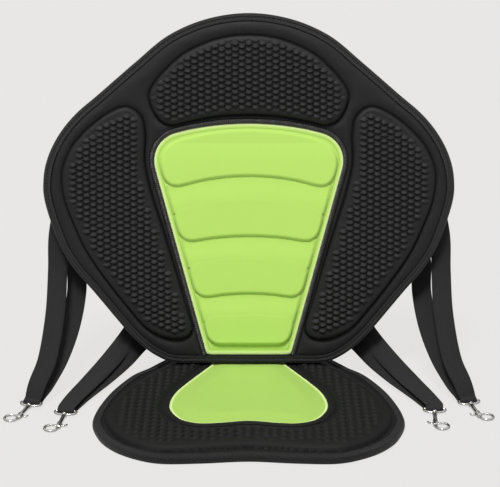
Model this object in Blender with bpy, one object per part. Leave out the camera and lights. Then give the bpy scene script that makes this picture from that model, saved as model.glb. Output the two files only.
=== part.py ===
"""Padded kayak seat: a reclined shield-shaped backrest sewn to a seat pad, with four webbing
straps that end in swivel snap hooks. Metres, +Z up. The seat faces -Y, and the origin is on the
floor, under the line where the backrest stands on the seat pad."""
import math

import bmesh
import bpy
from mathutils import Matrix, Vector

# Fits
GAP = 0.0003            # between two pieces that touch
PIN_CLEARANCE = 0.0002  # round a hinge pin, all round

# Backrest: overall size, and the layers from the front face to the back
BACK_WIDTH = 0.525
BACK_HEIGHT = 0.4475
RECLINE = math.radians(14)
BACK_FACE = 0.003       # moulded front panel at its flat flange
BACK_FOAM = 0.006
BACK_STIFFENER = 0.0012
BACK_COVER = 0.0012
PAD_RISE = 0.009        # raised pads above the flange
BOLSTER_RISE = 0.007    # lower edge of the green bolsters above the flange
BOLSTER_FADE = 0.35     # share of that rise that is left at a bolster's top edge
PAD_EDGE = 0.0016       # width of a raised pad's steep edge
PAD_SHOULDER = 0.005    # width of its edge and rounded shoulder together
PAD_CROWN = 0.80        # size of its flat top, as a share of the pad inside the shoulder
STIFFENER_MARGIN = 0.030

# Seat pad: overall size, and the layers from the floor up
SEAT_WIDTH = 0.376
SEAT_LENGTH = 0.336
SEAT_BEHIND = 0.0655    # how far the seat reaches behind the backrest's front edge
SEAT_BASE = 0.0025
SEAT_FOAM = 0.0029
SEAT_FACE = 0.003       # moulded top panel at its flat rim
SEAT_RISE = 0.0086      # raised pad above that rim
SEAT_PAD_EDGE = 0.002   # width of the raised pad's steep edge
SEAT_SHOULDER = 0.007   # width of its edge and rounded shoulder together

# Edge binding, insert piping and the sewn strip that joins seat and backrest
BINDING_WIDTH = 0.010
BINDING_THICKNESS = 0.0012
BINDING_ROUND = 0.0015
BACK_PIPING_WIDTH = 0.0065
SEAT_PIPING_WIDTH = 0.0085
BACK_PIPING_LAP = 0.002  # how far the piping laps over each green insert
SEAT_PIPING_LAP = 0.001
PIPING_HEIGHT = 0.0028
PIPING_END_GAP = 0.001   # between the seat's piping and the backrest's binding
STRIP_LENGTH = 0.150
STRIP_THICKNESS = 0.0012
STRIP_ON_BACK = 0.012
STRIP_ON_SEAT = 0.020
STRIP_BEND = 0.0035      # where the strip's outer face bends, up the backrest

# Centre insert of the backrest, in the backrest's own plane
INSERT_LOW = 0.0115
INSERT_HIGH = 0.309
INSERT_LOW_HALF = 0.0556
INSERT_HIGH_HALF = 0.137
INSERT_CROWN = 0.0225
INSERT_CORNER = 0.038
INSERT_LOW_CORNER = 0.004
BOLSTER_MARGIN = 0.008
BOLSTER_LOW_CORNER = 0.017
BOLSTER_HIGH_CORNER = 0.012
# Each bolster: its lower edge, how far that edge's ends drop, its upper edge, its own end drop
BOLSTERS = (
    (0.2400, 0.0180, 0.3005, 0.0225),
    (0.1634, 0.0097, 0.2145, 0.0150),
    (0.0897, 0.0075, 0.1393, 0.0080),
    (0.0237, 0.0000, 0.0662, 0.0030),
)

# Webbing, its anchors and its sliders
WEBBING_WIDTH = 0.025
WEBBING_THICKNESS = 0.0016
WEBBING_AT_EYE = 0.0212  # the webbing bunches a little where it wraps the swivel eye
SEWN_LENGTH = 0.034
PATCH_WIDTH = 0.033
PATCH_LENGTH = 0.030
PATCH_THICKNESS = 0.0012
SLIDER_BAR = 0.003
SLIDER_WALL = 0.003
SLIDER_SLOT = 0.0064
SLIDER_SIDE_PLAY = 0.0008
TWIST_DONE = 0.85       # share of a leg's way in which it turns flat to its hook
TAB_LENGTH = 0.034
TAB_SEWN = 0.019
TAIL_LENGTH = 0.026

# Snap hook, along its own shank from the eye's bar to the ring
EYE_WIRE = 0.0015
EYE_INNER = 0.0236
EYE_DEPTH = 0.0092
COLLAR_RADIUS = 0.0038
COLLAR_LENGTH = 0.0044
RIVET_RADIUS = 0.0016
RIVET_HEAD_RADIUS = 0.0030
RIVET_HEAD_LENGTH = 0.0021
BARREL_RADIUS = 0.0028
BARREL_LENGTH = 0.0200
BARREL_CHAMFER = 0.001
BLOCK_HALF_WIDTH = 0.0030
BLOCK_HALF_HEIGHT = 0.0025
BLOCK_LENGTH = 0.0128
SLOT_LENGTH = 0.0092
SLOT_HEIGHT = 0.0030
RING_WIRE = 0.0017
RING_RADIUS = 0.0080
RING_END_ANGLE = math.radians(-78)
GATE_THICKNESS = 0.0016
GATE_ARM_HALF = 0.0013
GATE_BOSS = 0.0025
THUMB_REACH = 0.0098
GATE_PIN_RADIUS = 0.0008
SPRING_WIRE = 0.00025
SPRING_RADIUS = 0.0016
HOOK_PITCH = math.radians(2.8)
EYE_HEIGHT = 0.0048
JOIN_DEPTH = 0.001      # how far the barrel and the ring reach into the gate's block

# How finely curves are cut
BACK_STEPS = 76
SEAT_STEPS = 60
PAD_STEPS = 36
RING_STEPS = 14
WIRE_SIDES = 6
ROUND_SIDES = 12

# Outlines, half of each: shares of the half width, and of the height or length
BACK_OUTLINE = (
    (0.000, 1.000), (0.206, 0.983), (0.392, 0.936), (0.552, 0.860), (0.728, 0.771), (0.838, 0.716),
    (0.918, 0.660), (0.975, 0.596), (1.000, 0.531), (0.992, 0.458), (0.922, 0.338), (0.850, 0.269),
    (0.750, 0.200), (0.602, 0.096), (0.526, 0.051), (0.446, 0.018), (0.362, 0.001), (0.210, 0.000),
    (0.000, 0.000),
)
TOP_PAD_OUTLINE = (
    (0.000, 0.938), (0.152, 0.927), (0.305, 0.889), (0.404, 0.840), (0.476, 0.786), (0.482, 0.746),
    (0.438, 0.698), (0.373, 0.681), (0.305, 0.689), (0.156, 0.706), (0.000, 0.711),
)
SIDE_PAD_OUTLINE = (
    (0.590, 0.736), (0.686, 0.716), (0.789, 0.669), (0.865, 0.616), (0.907, 0.551), (0.899, 0.476),
    (0.853, 0.400), (0.789, 0.320), (0.697, 0.240), (0.590, 0.160), (0.499, 0.100), (0.400, 0.071),
    (0.314, 0.071), (0.272, 0.100), (0.302, 0.167), (0.353, 0.267), (0.413, 0.382), (0.476, 0.500),
    (0.503, 0.584), (0.499, 0.651), (0.518, 0.707),
)
SEAT_OUTLINE = (
    (0.000, 0.000), (0.320, 0.003), (0.480, 0.018), (0.575, 0.065), (0.690, 0.158), (0.803, 0.241),
    (0.932, 0.423), (1.000, 0.634), (0.950, 0.770), (0.846, 0.866), (0.705, 0.932), (0.537, 0.969),
    (0.287, 0.966), (0.000, 0.951),
)
SEAT_PAD_OUTLINE = (
    (0.000, 0.048), (0.300, 0.051), (0.430, 0.075), (0.525, 0.130), (0.665, 0.245), (0.834, 0.423),
    (0.920, 0.619), (0.874, 0.750), (0.780, 0.842), (0.649, 0.900), (0.521, 0.921), (0.293, 0.910),
    (0.000, 0.888),
)
SEAT_INSERT_OUTLINE = (
    (0.000, 0.152), (0.225, 0.153), (0.262, 0.190), (0.300, 0.232), (0.394, 0.339), (0.479, 0.449),
    (0.516, 0.548), (0.505, 0.628), (0.436, 0.708), (0.319, 0.744), (0.186, 0.741), (0.000, 0.723),
)

# Straps. Anchors and sliders are places on the backrest's rear: shares of half width and height.
# The way is the strap's direction there, in degrees below the outward horizontal.
ANCHORS = {
    "upper": {"patch": (0.868, 0.558), "patch_way": 78, "slider": (0.757, 0.415), "slider_way": 66},
    "lower": {"patch": (0.405, 0.222), "patch_way": 42, "slider": (0.378, 0.122), "slider_way": 38},
}
# Each leg's own points: shares of the way from the anchor to the hook, along x, y and z
LEGS = {
    "upper": {
        "top": ((0.38, 0.05, 0.28), (0.40, 0.17, 0.47), (0.40, 0.44, 0.65), (0.56, 0.73, 0.83),
                (0.84, 0.90, 0.93)),
        "bottom": ((0.26, -0.03, 0.21), (0.27, 0.08, 0.44), (0.36, 0.33, 0.63), (0.54, 0.59, 0.79),
                   (0.77, 0.80, 0.91), (0.93, 0.92, 0.97)),
    },
    "lower": {
        "top": ((0.17, -0.18, 0.34), (0.34, -0.06, 0.62), (0.55, 0.22, 0.80), (0.76, 0.51, 0.92),
                (0.92, 0.78, 0.97)),
        "bottom": ((0.22, -0.05, 0.34), (0.43, 0.14, 0.64), (0.66, 0.42, 0.84), (0.86, 0.71, 0.94)),
    },
}
# Where each hook lies: its eye bar's x and y on the floor, and its heading out from -Y in degrees
HOOKS = {
    "upper_left": (-0.2685, -0.0900, 16),
    "upper_right": (0.2725, -0.0850, 12),
    "lower_left": (-0.2235, -0.1170, 7),
    "lower_right": (0.2280, -0.1100, -4),
}

# Heights that the layers above add up to
BACK_REAR = -(BACK_FACE + BACK_FOAM + BACK_STIFFENER + BACK_COVER + 3 * GAP)
SEAT_CORE_LOW = SEAT_BASE + GAP
SEAT_RIM_LOW = SEAT_CORE_LOW + SEAT_FOAM + GAP
SEAT_RIM = SEAT_RIM_LOW + SEAT_FACE
SEAT_TOP = SEAT_RIM + SEAT_RISE
EDGE_INSET = BINDING_THICKNESS + GAP
BACK_FOOT = SEAT_TOP + GAP - BACK_REAR * math.sin(RECLINE)
BACK_MATRIX = Matrix.Translation((0, 0, BACK_FOOT)) @ Matrix.Rotation(math.pi / 2 - RECLINE, 4, "X")

# Where things lie along the hook's shank
COLLAR_NEAR = EYE_DEPTH - COLLAR_LENGTH / 2
BARREL_NEAR = COLLAR_NEAR + COLLAR_LENGTH + GAP
BLOCK_NEAR = BARREL_NEAR + BARREL_LENGTH
PIVOT_ALONG = BLOCK_NEAR + BLOCK_LENGTH / 2
RING_ALONG = PIVOT_ALONG + RING_RADIUS


def clear_scene():
    for item in list(bpy.data.objects):
        bpy.data.objects.remove(item, do_unlink=True)


def make_material(name, colour, roughness, metallic=0.0):
    material = bpy.data.materials.new(name)
    material.use_nodes = True
    shader = material.node_tree.nodes["Principled BSDF"]
    shader.inputs["Base Color"].default_value = (*colour, 1.0)
    shader.inputs["Roughness"].default_value = roughness
    shader.inputs["Metallic"].default_value = metallic
    return material


def smooth_curve(points, steps, closed):
    """Catmull-Rom curve through the points, cut into steps for each span."""
    count = len(points)
    spans = count if closed else count - 1
    result = []
    for span in range(spans):
        four = []
        for shift in (-1, 0, 1, 2):
            place = span + shift
            four.append(points[place % count if closed else min(max(place, 0), count - 1)])
        before, start, end, after = four
        for step in range(steps):
            t = step / steps
            pull = (end - before) * t + (before * 2 - start * 5 + end * 4 - after) * t * t
            result.append((start * 2 + pull + (start * 3 - before - end * 3 + after) * t ** 3) / 2)
    if not closed:
        result.append(points[-1].copy())
    return result


def even_points(points, count, closed):
    """The same line cut into equal lengths."""
    line = list(points) + ([points[0]] if closed else [])
    lengths = [0.0]
    for start, end in zip(line, line[1:]):
        lengths.append(lengths[-1] + (end - start).length)
    result = []
    span = 0
    for index in range(count):
        target = lengths[-1] * index / (count if closed else count - 1)
        while span < len(line) - 2 and lengths[span + 1] < target:
            span += 1
        share = (target - lengths[span]) / (lengths[span + 1] - lengths[span])
        result.append(line[span].lerp(line[span + 1], share))
    return result


def symmetric_outline(half, count):
    """A smooth closed outline from its right half, which starts and ends on the centre line."""
    left = [Vector((-point.x, point.y)) for point in reversed(half[1:-1])]
    return even_points(smooth_curve(half + left, 6, True), count, True)


def back_shares(shares):
    return [Vector((x * BACK_WIDTH / 2, y * BACK_HEIGHT)) for x, y in shares]


def seat_shares(shares):
    return [Vector((x * SEAT_WIDTH / 2, SEAT_BEHIND - y * SEAT_LENGTH)) for x, y in shares]


def side_normals(points, closed):
    """At each point, the unit normal on the right of the way along a flat line."""
    count = len(points)
    normals = []
    for index in range(count):
        before = points[index - 1] if closed or index else points[0]
        after = points[(index + 1) % count] if closed or index < count - 1 else points[-1]
        way = (after - before).normalized()
        normals.append(Vector((way.y, -way.x)))
    return normals


def turned_in(loop):
    """1 where the right of the way along a closed outline is its inside, or else -1."""
    area = sum(a.x * b.y - b.x * a.y for a, b in zip(loop, loop[1:] + loop[:1]))
    return 1 if area < 0 else -1


def inset(loop, distance, steps=4):
    """A closed outline moved inwards, a little at a time so that its corners stay round."""
    side = turned_in(loop)
    for _ in range(steps):
        normals = side_normals(loop, True)
        loop = [p + n * side * distance / steps for p, n in zip(loop, normals)]
    return loop


def at_height(loop, height):
    return [Vector((p.x, p.y, height)) for p in loop]


def mesh_from(name, points, faces):
    mesh = bpy.data.meshes.new(name)
    mesh.from_pydata(points, [], faces)
    shell = bmesh.new()
    shell.from_mesh(mesh)
    bmesh.ops.recalc_face_normals(shell, faces=shell.faces)
    if shell.calc_volume(signed=True) < 0:
        bmesh.ops.reverse_faces(shell, faces=shell.faces)
    shell.to_mesh(mesh)
    shell.free()
    return mesh


def loft(name, rings, closed=False):
    """A skin over rings of points; its two ends are capped unless the rings close on themselves."""
    count = len(rings[0])
    points = [point for ring in rings for point in ring]
    faces = []
    bands = len(rings) if closed else len(rings) - 1
    for band in range(bands):
        low = band * count
        high = (band + 1) % len(rings) * count
        for index in range(count):
            after = (index + 1) % count
            faces.append((low + index, low + after, high + after, high + index))
    if not closed:
        faces.append(tuple(range(count)))
        faces.append(tuple(range(len(points) - count, len(points))))
    return mesh_from(name, points, faces)


def prism(name, outline, low, high):
    return loft(name, [at_height(outline, low), at_height(outline, high)])


def flat_trim(name, path, section, closed):
    """A strip swept along a flat line; the section gives points to its right and above it."""
    normals = side_normals(path, closed)
    rings = []
    for point, normal in zip(path, normals):
        rings.append([Vector((*(point + normal * across), up)) for across, up in section])
    return loft(name, rings, closed)


def wire(name, path, radius, sides, closed=False):
    """A round wire along a line that lies in one flat plane."""
    flat = [Vector((p.x, p.y)) for p in path]
    normals = side_normals(flat, closed)
    rings = []
    for point, normal in zip(path, normals):
        ring = []
        for index in range(sides):
            angle = math.tau * (index + 0.5) / sides
            out = normal.to_3d() * math.cos(angle) + Vector((0, 0, math.sin(angle)))
            ring.append(point + out * radius)
        rings.append(ring)
    return loft(name, rings, closed)


def turned(name, profile, sides=ROUND_SIDES):
    """A round solid along y, from pairs of place and radius."""
    rings = []
    for along, radius in profile:
        angles = [math.tau * index / sides for index in range(sides)]
        rings.append([Vector((radius * math.cos(a), along, radius * math.sin(a))) for a in angles])
    return loft(name, rings)


def block(name, low, high):
    corners = [(low[0], low[1]), (high[0], low[1]), (high[0], high[1]), (low[0], high[1])]
    return prism(name, [Vector(corner) for corner in corners], low[2], high[2])


def place(name, mesh, material, parent=None, location=(0, 0, 0)):
    item = bpy.data.objects.new(name, mesh)
    bpy.context.collection.objects.link(item)
    mesh.materials.append(material)
    mesh.shade_smooth()
    mesh.set_sharp_from_angle(angle=math.radians(35))
    item.location = location
    item.parent = parent
    return item


def frame_empty(name, matrix):
    empty = bpy.data.objects.new(name, None)
    bpy.context.collection.objects.link(empty)
    empty.matrix_world = matrix
    return empty


def join_or_cut(item, tool_mesh, operation, location=(0, 0, 0)):
    """A Boolean modifier whose tool rides with the item and is hidden."""
    tool = bpy.data.objects.new(tool_mesh.name, tool_mesh)
    bpy.context.collection.objects.link(tool)
    tool.parent = item.parent
    tool.location = Vector(item.location) + Vector(location)
    tool.hide_render = True
    tool.display_type = "WIRE"
    step = item.modifiers.new(tool_mesh.name, "BOOLEAN")
    step.operation = operation
    step.solver = "EXACT"
    step.object = tool


def pad_rings(outline, low, base, rise):
    """Rings of a soft raised pad: steep at its edge and crowned towards its middle."""
    middle = sum(outline, Vector((0, 0))) / len(outline)
    crown = [middle.lerp(point, PAD_CROWN) for point in inset(outline, PAD_SHOULDER)]
    return [
        at_height(outline, low),
        at_height(outline, base + rise * 0.15),
        at_height(inset(outline, PAD_EDGE), base + rise * 0.62),
        at_height(inset(outline, PAD_SHOULDER), base + rise * 0.88),
        at_height(crown, base + rise),
    ]


# Backrest outlines

def side_pad_outline(side):
    whole = smooth_curve(back_shares(SIDE_PAD_OUTLINE), 4, True)
    return even_points([Vector((side * p.x, p.y)) for p in whole], PAD_STEPS, True)


def insert_half_width(up):
    share = (up - INSERT_LOW) / (INSERT_HIGH - INSERT_LOW)
    return INSERT_LOW_HALF + (INSERT_HIGH_HALF - INSERT_LOW_HALF) * share


def rounded_corner(before, corner, after, radius, steps=5):
    """An arc in place of a corner."""
    to_before = (before - corner).normalized()
    to_after = (after - corner).normalized()
    half = to_before.angle(to_after) / 2
    reach = radius / math.tan(half)
    centre = corner + (to_before + to_after).normalized() * radius / math.sin(half)
    start = corner + to_before * reach - centre
    end = corner + to_after * reach - centre
    turn = start.angle_signed(end)
    arc = []
    for step in range(steps + 1):
        arc.append(centre + Matrix.Rotation(-turn * step / steps, 2) @ start)
    return arc


def keystone(low, low_drop, high, high_drop, margin, low_radius, high_radius):
    """A tapered outline whose lower and upper edges are arcs, clockwise from its lower left."""
    edges = []
    for middle, drop in ((low, low_drop), (high, high_drop)):
        half = insert_half_width(middle - drop) - margin
        shares = [step / 3 - 1 for step in range(7)]
        edges.append([Vector((s * half, middle - drop * s * s)) for s in shares])
    bottom, top = edges
    outline = []
    outline += rounded_corner(bottom[1], bottom[0], top[0], low_radius)
    outline += rounded_corner(bottom[0], top[0], top[1], high_radius)
    outline += top[2:-2]
    outline += rounded_corner(top[-2], top[-1], bottom[-1], high_radius)
    outline += rounded_corner(top[-1], bottom[-1], bottom[-2], low_radius)
    outline += bottom[-3:1:-1]
    return outline


def insert_outline():
    return keystone(INSERT_LOW, 0, INSERT_HIGH, INSERT_CROWN, 0, INSERT_LOW_CORNER, INSERT_CORNER)


def back_piping_path():
    """The insert's edge from its lower right, over the top, to its lower left."""
    outline = inset(insert_outline(), BACK_PIPING_LAP - BACK_PIPING_WIDTH / 2)
    path = [point for point in outline if point.y > INSERT_LOW + INSERT_LOW_CORNER * 1.25]
    corner = path[0]
    slope = (INSERT_HIGH_HALF - INSERT_LOW_HALF) / (INSERT_HIGH - INSERT_LOW)
    lowest = BINDING_WIDTH + GAP + BACK_PIPING_WIDTH * slope / 2
    end = Vector((corner.x + (corner.y - lowest) * slope, lowest))
    return [end] + path + [Vector((-end.x, end.y))]


def piping_section(width, base):
    half = width / 2
    return [(-half, base), (half, base), (half, base + PIPING_HEIGHT * 0.5),
            (half * 0.45, base + PIPING_HEIGHT), (-half * 0.45, base + PIPING_HEIGHT),
            (-half, base + PIPING_HEIGHT * 0.5)]


def binding_section(side, low, high):
    """A U-shaped tape round an edge, from its upper flange to its lower one."""
    top = high + GAP + BINDING_THICKNESS
    bottom = low - GAP - BINDING_THICKNESS
    points = [
        (BINDING_WIDTH, high + GAP), (BINDING_WIDTH, top), (BINDING_ROUND, top),
        (0, top - BINDING_ROUND), (0, bottom + BINDING_ROUND), (BINDING_ROUND, bottom),
        (BINDING_WIDTH, bottom), (BINDING_WIDTH, low - GAP), (BINDING_THICKNESS, low - GAP),
        (BINDING_THICKNESS, high + GAP),
    ]
    return [(across * side, up) for across, up in points]


def make_backrest(black, green, foam, plastic, trim):
    frame = frame_empty("backrest_frame", BACK_MATRIX)
    edge = symmetric_outline(back_shares(BACK_OUTLINE), BACK_STEPS)
    layer = inset(edge, EDGE_INSET)
    window = inset(insert_outline(), -GAP)

    panel = place("back_front_panel", prism("back_front_panel", layer, -BACK_FACE, 0), black, frame)
    join_or_cut(panel, prism("back_window_cutter", window, -2 * BACK_FACE, BACK_FACE), "DIFFERENCE")
    pads = [("top_pad", symmetric_outline(back_shares(TOP_PAD_OUTLINE), PAD_STEPS))]
    pads += [("right_pad", side_pad_outline(1)), ("left_pad", side_pad_outline(-1))]
    for name, outline in pads:
        rings = pad_rings(outline, -BACK_FACE / 2, 0, PAD_RISE)
        join_or_cut(panel, loft(name, rings), "UNION")

    insert = place("back_center_insert", prism("back_center_insert", insert_outline(), -BACK_FACE, 0),
                   green, frame)
    for number, (low, low_drop, high, high_drop) in enumerate(BOLSTERS):
        high_corner = BOLSTER_HIGH_CORNER if number else INSERT_CORNER - BOLSTER_MARGIN
        outline = keystone(low, low_drop, high, high_drop, BOLSTER_MARGIN, BOLSTER_LOW_CORNER,
                           high_corner)
        rings = pad_rings(outline, -BACK_FACE / 2, 0, BOLSTER_RISE)
        for ring in rings[1:]:
            for point in ring:
                share = (point.y - low + low_drop) / (high - low + low_drop)
                point.z *= 1 - (1 - BOLSTER_FADE) * min(max(share, 0), 1)
        join_or_cut(insert, loft(f"bolster_{number + 1}", rings), "UNION")

    piping = flat_trim("back_insert_piping", back_piping_path(),
                       piping_section(BACK_PIPING_WIDTH, GAP), False)
    place("back_insert_piping", piping, trim, frame)

    core_top = -BACK_FACE - GAP
    core_low = core_top - BACK_FOAM
    place("back_foam_core", prism("back_foam_core", layer, core_low, core_top), foam, frame)
    sheet_top = core_low - GAP
    sheet = inset(layer, STIFFENER_MARGIN, 8)
    sheet_low = sheet_top - BACK_STIFFENER
    place("back_stiffener", prism("back_stiffener", sheet, sheet_low, sheet_top), plastic, frame)
    cover = prism("back_rear_cover", layer, BACK_REAR, BACK_REAR + BACK_COVER)
    place("back_rear_cover", cover, black, frame)
    section = binding_section(turned_in(edge), BACK_REAR, 0)
    place("back_edge_binding", flat_trim("back_edge_binding", edge, section, True), trim, frame)


# Seat pad

def seat_outline(shares, count):
    return symmetric_outline(seat_shares(shares), count)


def seat_piping_path():
    """The insert's edge in front of the backrest, as one open line."""
    edge = seat_outline(SEAT_INSERT_OUTLINE, 2 * PAD_STEPS)
    outline = inset(edge, SEAT_PIPING_LAP - SEAT_PIPING_WIDTH / 2)
    front = -(EDGE_INSET + PIPING_END_GAP)
    seen = [point for point in outline if point.y < front]
    start = max(range(len(seen)), key=lambda index: (seen[index] - seen[index - 1]).length)
    line = seen[start:] + seen[:start]
    return even_points(line, PAD_STEPS, False)


def make_seat(black, green, foam, trim):
    edge = seat_outline(SEAT_OUTLINE, SEAT_STEPS)
    layer = inset(edge, EDGE_INSET)
    above_tape = EDGE_INSET
    within = inset(edge, BINDING_WIDTH + GAP)

    cover = loft("seat_base_cover", [
        at_height(within, 0), at_height(within, above_tape), at_height(layer, above_tape),
        at_height(layer, SEAT_BASE)])
    place("seat_base_cover", cover, black)
    core = prism("seat_foam_core", layer, SEAT_CORE_LOW, SEAT_CORE_LOW + SEAT_FOAM)
    place("seat_foam_core", core, foam)

    panel = place("seat_top_panel", prism("seat_top_panel", layer, SEAT_RIM_LOW, SEAT_RIM), black)
    raised = seat_outline(SEAT_PAD_OUTLINE, SEAT_STEPS)
    middle = (SEAT_RIM_LOW + SEAT_RIM) / 2
    rings = [
        at_height(raised, middle),
        at_height(raised, SEAT_RIM + SEAT_RISE * 0.25),
        at_height(inset(raised, SEAT_PAD_EDGE), SEAT_RIM + SEAT_RISE * 0.65),
        at_height(inset(raised, SEAT_SHOULDER), SEAT_TOP),
    ]
    join_or_cut(panel, loft("seat_raised_pad", rings), "UNION")
    insert_edge = seat_outline(SEAT_INSERT_OUTLINE, PAD_STEPS)
    window = inset(insert_edge, -GAP)
    cutter = prism("seat_window_cutter", window, SEAT_RIM_LOW - SEAT_FACE, SEAT_TOP + SEAT_FACE)
    join_or_cut(panel, cutter, "DIFFERENCE")
    insert = prism("seat_center_insert", insert_edge, SEAT_RIM_LOW, SEAT_TOP)
    place("seat_center_insert", insert, green)
    piping = flat_trim("seat_insert_piping", seat_piping_path(),
                       piping_section(SEAT_PIPING_WIDTH, SEAT_TOP + GAP), False)
    place("seat_insert_piping", piping, trim)
    section = binding_section(turned_in(edge), above_tape, SEAT_RIM)
    place("seat_edge_binding", flat_trim("seat_edge_binding", edge, section, True), trim)


def make_hinge_strip(trim):
    """A sewn cloth strip, bent from the backrest's rear binding onto the seat's raised pad."""
    rear = BACK_REAR - 2 * GAP - BINDING_THICKNESS
    outer = rear - STRIP_THICKNESS
    near = [BACK_MATRIX @ Vector((0, up, rear)) for up in (STRIP_ON_BACK, BINDING_ROUND)]
    far = [BACK_MATRIX @ Vector((0, up, outer)) for up in (STRIP_ON_BACK, STRIP_BEND)]
    low = SEAT_TOP + GAP
    heel = near[1].y + GAP
    toe = heel + STRIP_ON_SEAT
    profile = [
        (near[0].y, near[0].z), (near[1].y, near[1].z), (heel, low), (toe, low),
        (toe, low + STRIP_THICKNESS), (far[1].y, low + STRIP_THICKNESS), (far[0].y, far[0].z),
    ]
    half = STRIP_LENGTH / 2
    rings = [[Vector((x, y, z)) for y, z in profile] for x in (-half, half)]
    place("hinge_strip", loft("hinge_strip", rings), trim)


# Straps

def ribbon(name, stations):
    """Webbing through stations, each a point, its width direction and its width."""
    rings = []
    last = len(stations) - 1
    for index, (point, width_way, width) in enumerate(stations):
        way = stations[min(index + 1, last)][0] - stations[max(index - 1, 0)][0]
        way.normalize()
        across = (width_way - way * width_way.dot(way)).normalized() * width / 2
        up = way.cross(across).normalized() * WEBBING_THICKNESS / 2
        rings.append([point - across - up, point + across - up, point + across + up,
                      point - across + up])
    return loft(name, rings)


def arc_round(centre, start, through, steps):
    """Points of a half turn round a centre, from centre + start by way of centre + through."""
    points = []
    for step in range(steps + 1):
        angle = math.pi * step / steps
        points.append(centre + start * math.cos(angle) + through * math.sin(angle))
    return points


def twist_share(share):
    """How far the webbing has turned flat to the hook: slow at first, and done before the eye."""
    share = min(share / TWIST_DONE, 1)
    return share * share * (3 - 2 * share)


def leg_points(start, end, shares):
    """A leg's free points, as shares of the way from its start to its end along each axis."""
    way = end - start
    return [start + Vector([way[axis] * share[axis] for axis in range(3)]) for share in shares]


def rear_place(side, shares, degrees):
    """A place on the backrest's rear, the strap's way there and its width direction."""
    angle = math.radians(degrees)
    place_there = Vector((side * shares[0] * BACK_WIDTH / 2, shares[1] * BACK_HEIGHT, BACK_REAR))
    way = Vector((side * math.cos(angle), -math.sin(angle), 0))
    across = Vector((side * math.sin(angle), math.cos(angle), 0)) * side
    return place_there, way, across


def to_world(vector):
    return BACK_MATRIX.to_3x3() @ vector


def slider_offset():
    """How far webbing lies from a slider bar's centre as it wraps the square bar."""
    return math.hypot(SLIDER_BAR, SLIDER_BAR) / 2 + GAP + WEBBING_THICKNESS / 2


def strap_stations(level, side, hook):
    """The webbing's whole course, from the sewn end down to the eye and back up to the slider."""
    anchors = ANCHORS[level]
    layer = -(GAP + WEBBING_THICKNESS / 2)
    out = Vector((0, 0, 1))
    spot, way, across = rear_place(side, anchors["patch"], anchors["patch_way"])
    sewn = [spot + way * reach + out * layer for reach in (-SEWN_LENGTH / 2, 0, SEWN_LENGTH / 2)]
    start = [BACK_MATRIX @ point for point in sewn]
    start_across = to_world(across)

    wrap = EYE_WIRE + GAP + WEBBING_THICKNESS / 2
    turn = hook.to_3x3()
    up = turn @ Vector((0, 0, wrap))
    eye = hook.translation
    bend = arc_round(eye, up, turn @ Vector((0, wrap, 0)), 6)
    eye_across = turn @ Vector((-1, 0, 0))
    above = turn @ Vector((0, -2 * wrap, EYE_WIRE))
    below = turn @ Vector((0, -2 * wrap, 0))

    offset = slider_offset()
    spot, way, across = rear_place(side, anchors["slider"], anchors["slider_way"])
    bar = spot + out * (layer - offset)
    rear = out * -offset
    low_bar = SLIDER_BAR + SLIDER_SLOT
    leave = [BACK_MATRIX @ (bar + rear + way * reach) for reach in (2 * low_bar, low_bar, 0)]
    top = arc_round(BACK_MATRIX @ bar, to_world(rear), to_world(way * -offset), 6)
    tail = [BACK_MATRIX @ (bar - rear + way * reach) for reach in (TAIL_LENGTH / 2, TAIL_LENGTH)]
    end_across = to_world(across)

    legs = LEGS[level]
    first = leg_points(start[-1], bend[0], legs["top"])
    second = leg_points(leave[0], bend[-1], legs["bottom"])[::-1]
    down = smooth_curve([start[-1]] + first + [bend[0] + above, bend[0]], 3, False)
    climb = smooth_curve([bend[-1], bend[-1] + below] + second + [leave[0]], 3, False)

    stations = [(point, start_across, WEBBING_WIDTH) for point in start[:-1]]
    last = len(down) - 1
    for index, point in enumerate(down):
        share = index / last
        width = WEBBING_WIDTH + (WEBBING_AT_EYE - WEBBING_WIDTH) * max(0, share * 4 - 3)
        stations.append((point, start_across.lerp(eye_across, twist_share(share)), width))
    stations += [(point, eye_across, WEBBING_AT_EYE) for point in bend[1:-1]]
    last = len(climb) - 1
    for index, point in enumerate(climb):
        share = index / last
        width = WEBBING_AT_EYE + (WEBBING_WIDTH - WEBBING_AT_EYE) * min(1, share * 4)
        stations.append((point, end_across.lerp(eye_across, twist_share(1 - share)), width))
    stations += [(point, end_across, WEBBING_WIDTH) for point in leave[1:] + top[1:] + tail]
    return stations


def rear_frame(name, spot, way, depth):
    """An empty on the backrest's rear whose y axis runs back up along the strap."""
    across = way.cross(Vector((0, 0, 1)))
    turn = Matrix((across, -way, Vector((0, 0, -1)))).transposed()
    if turn.determinant() < 0:
        turn = Matrix((-across, -way, Vector((0, 0, -1)))).transposed()
    matrix = BACK_MATRIX @ Matrix.Translation(spot + Vector((0, 0, depth))) @ turn.to_4x4()
    return frame_empty(name, matrix)


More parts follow.
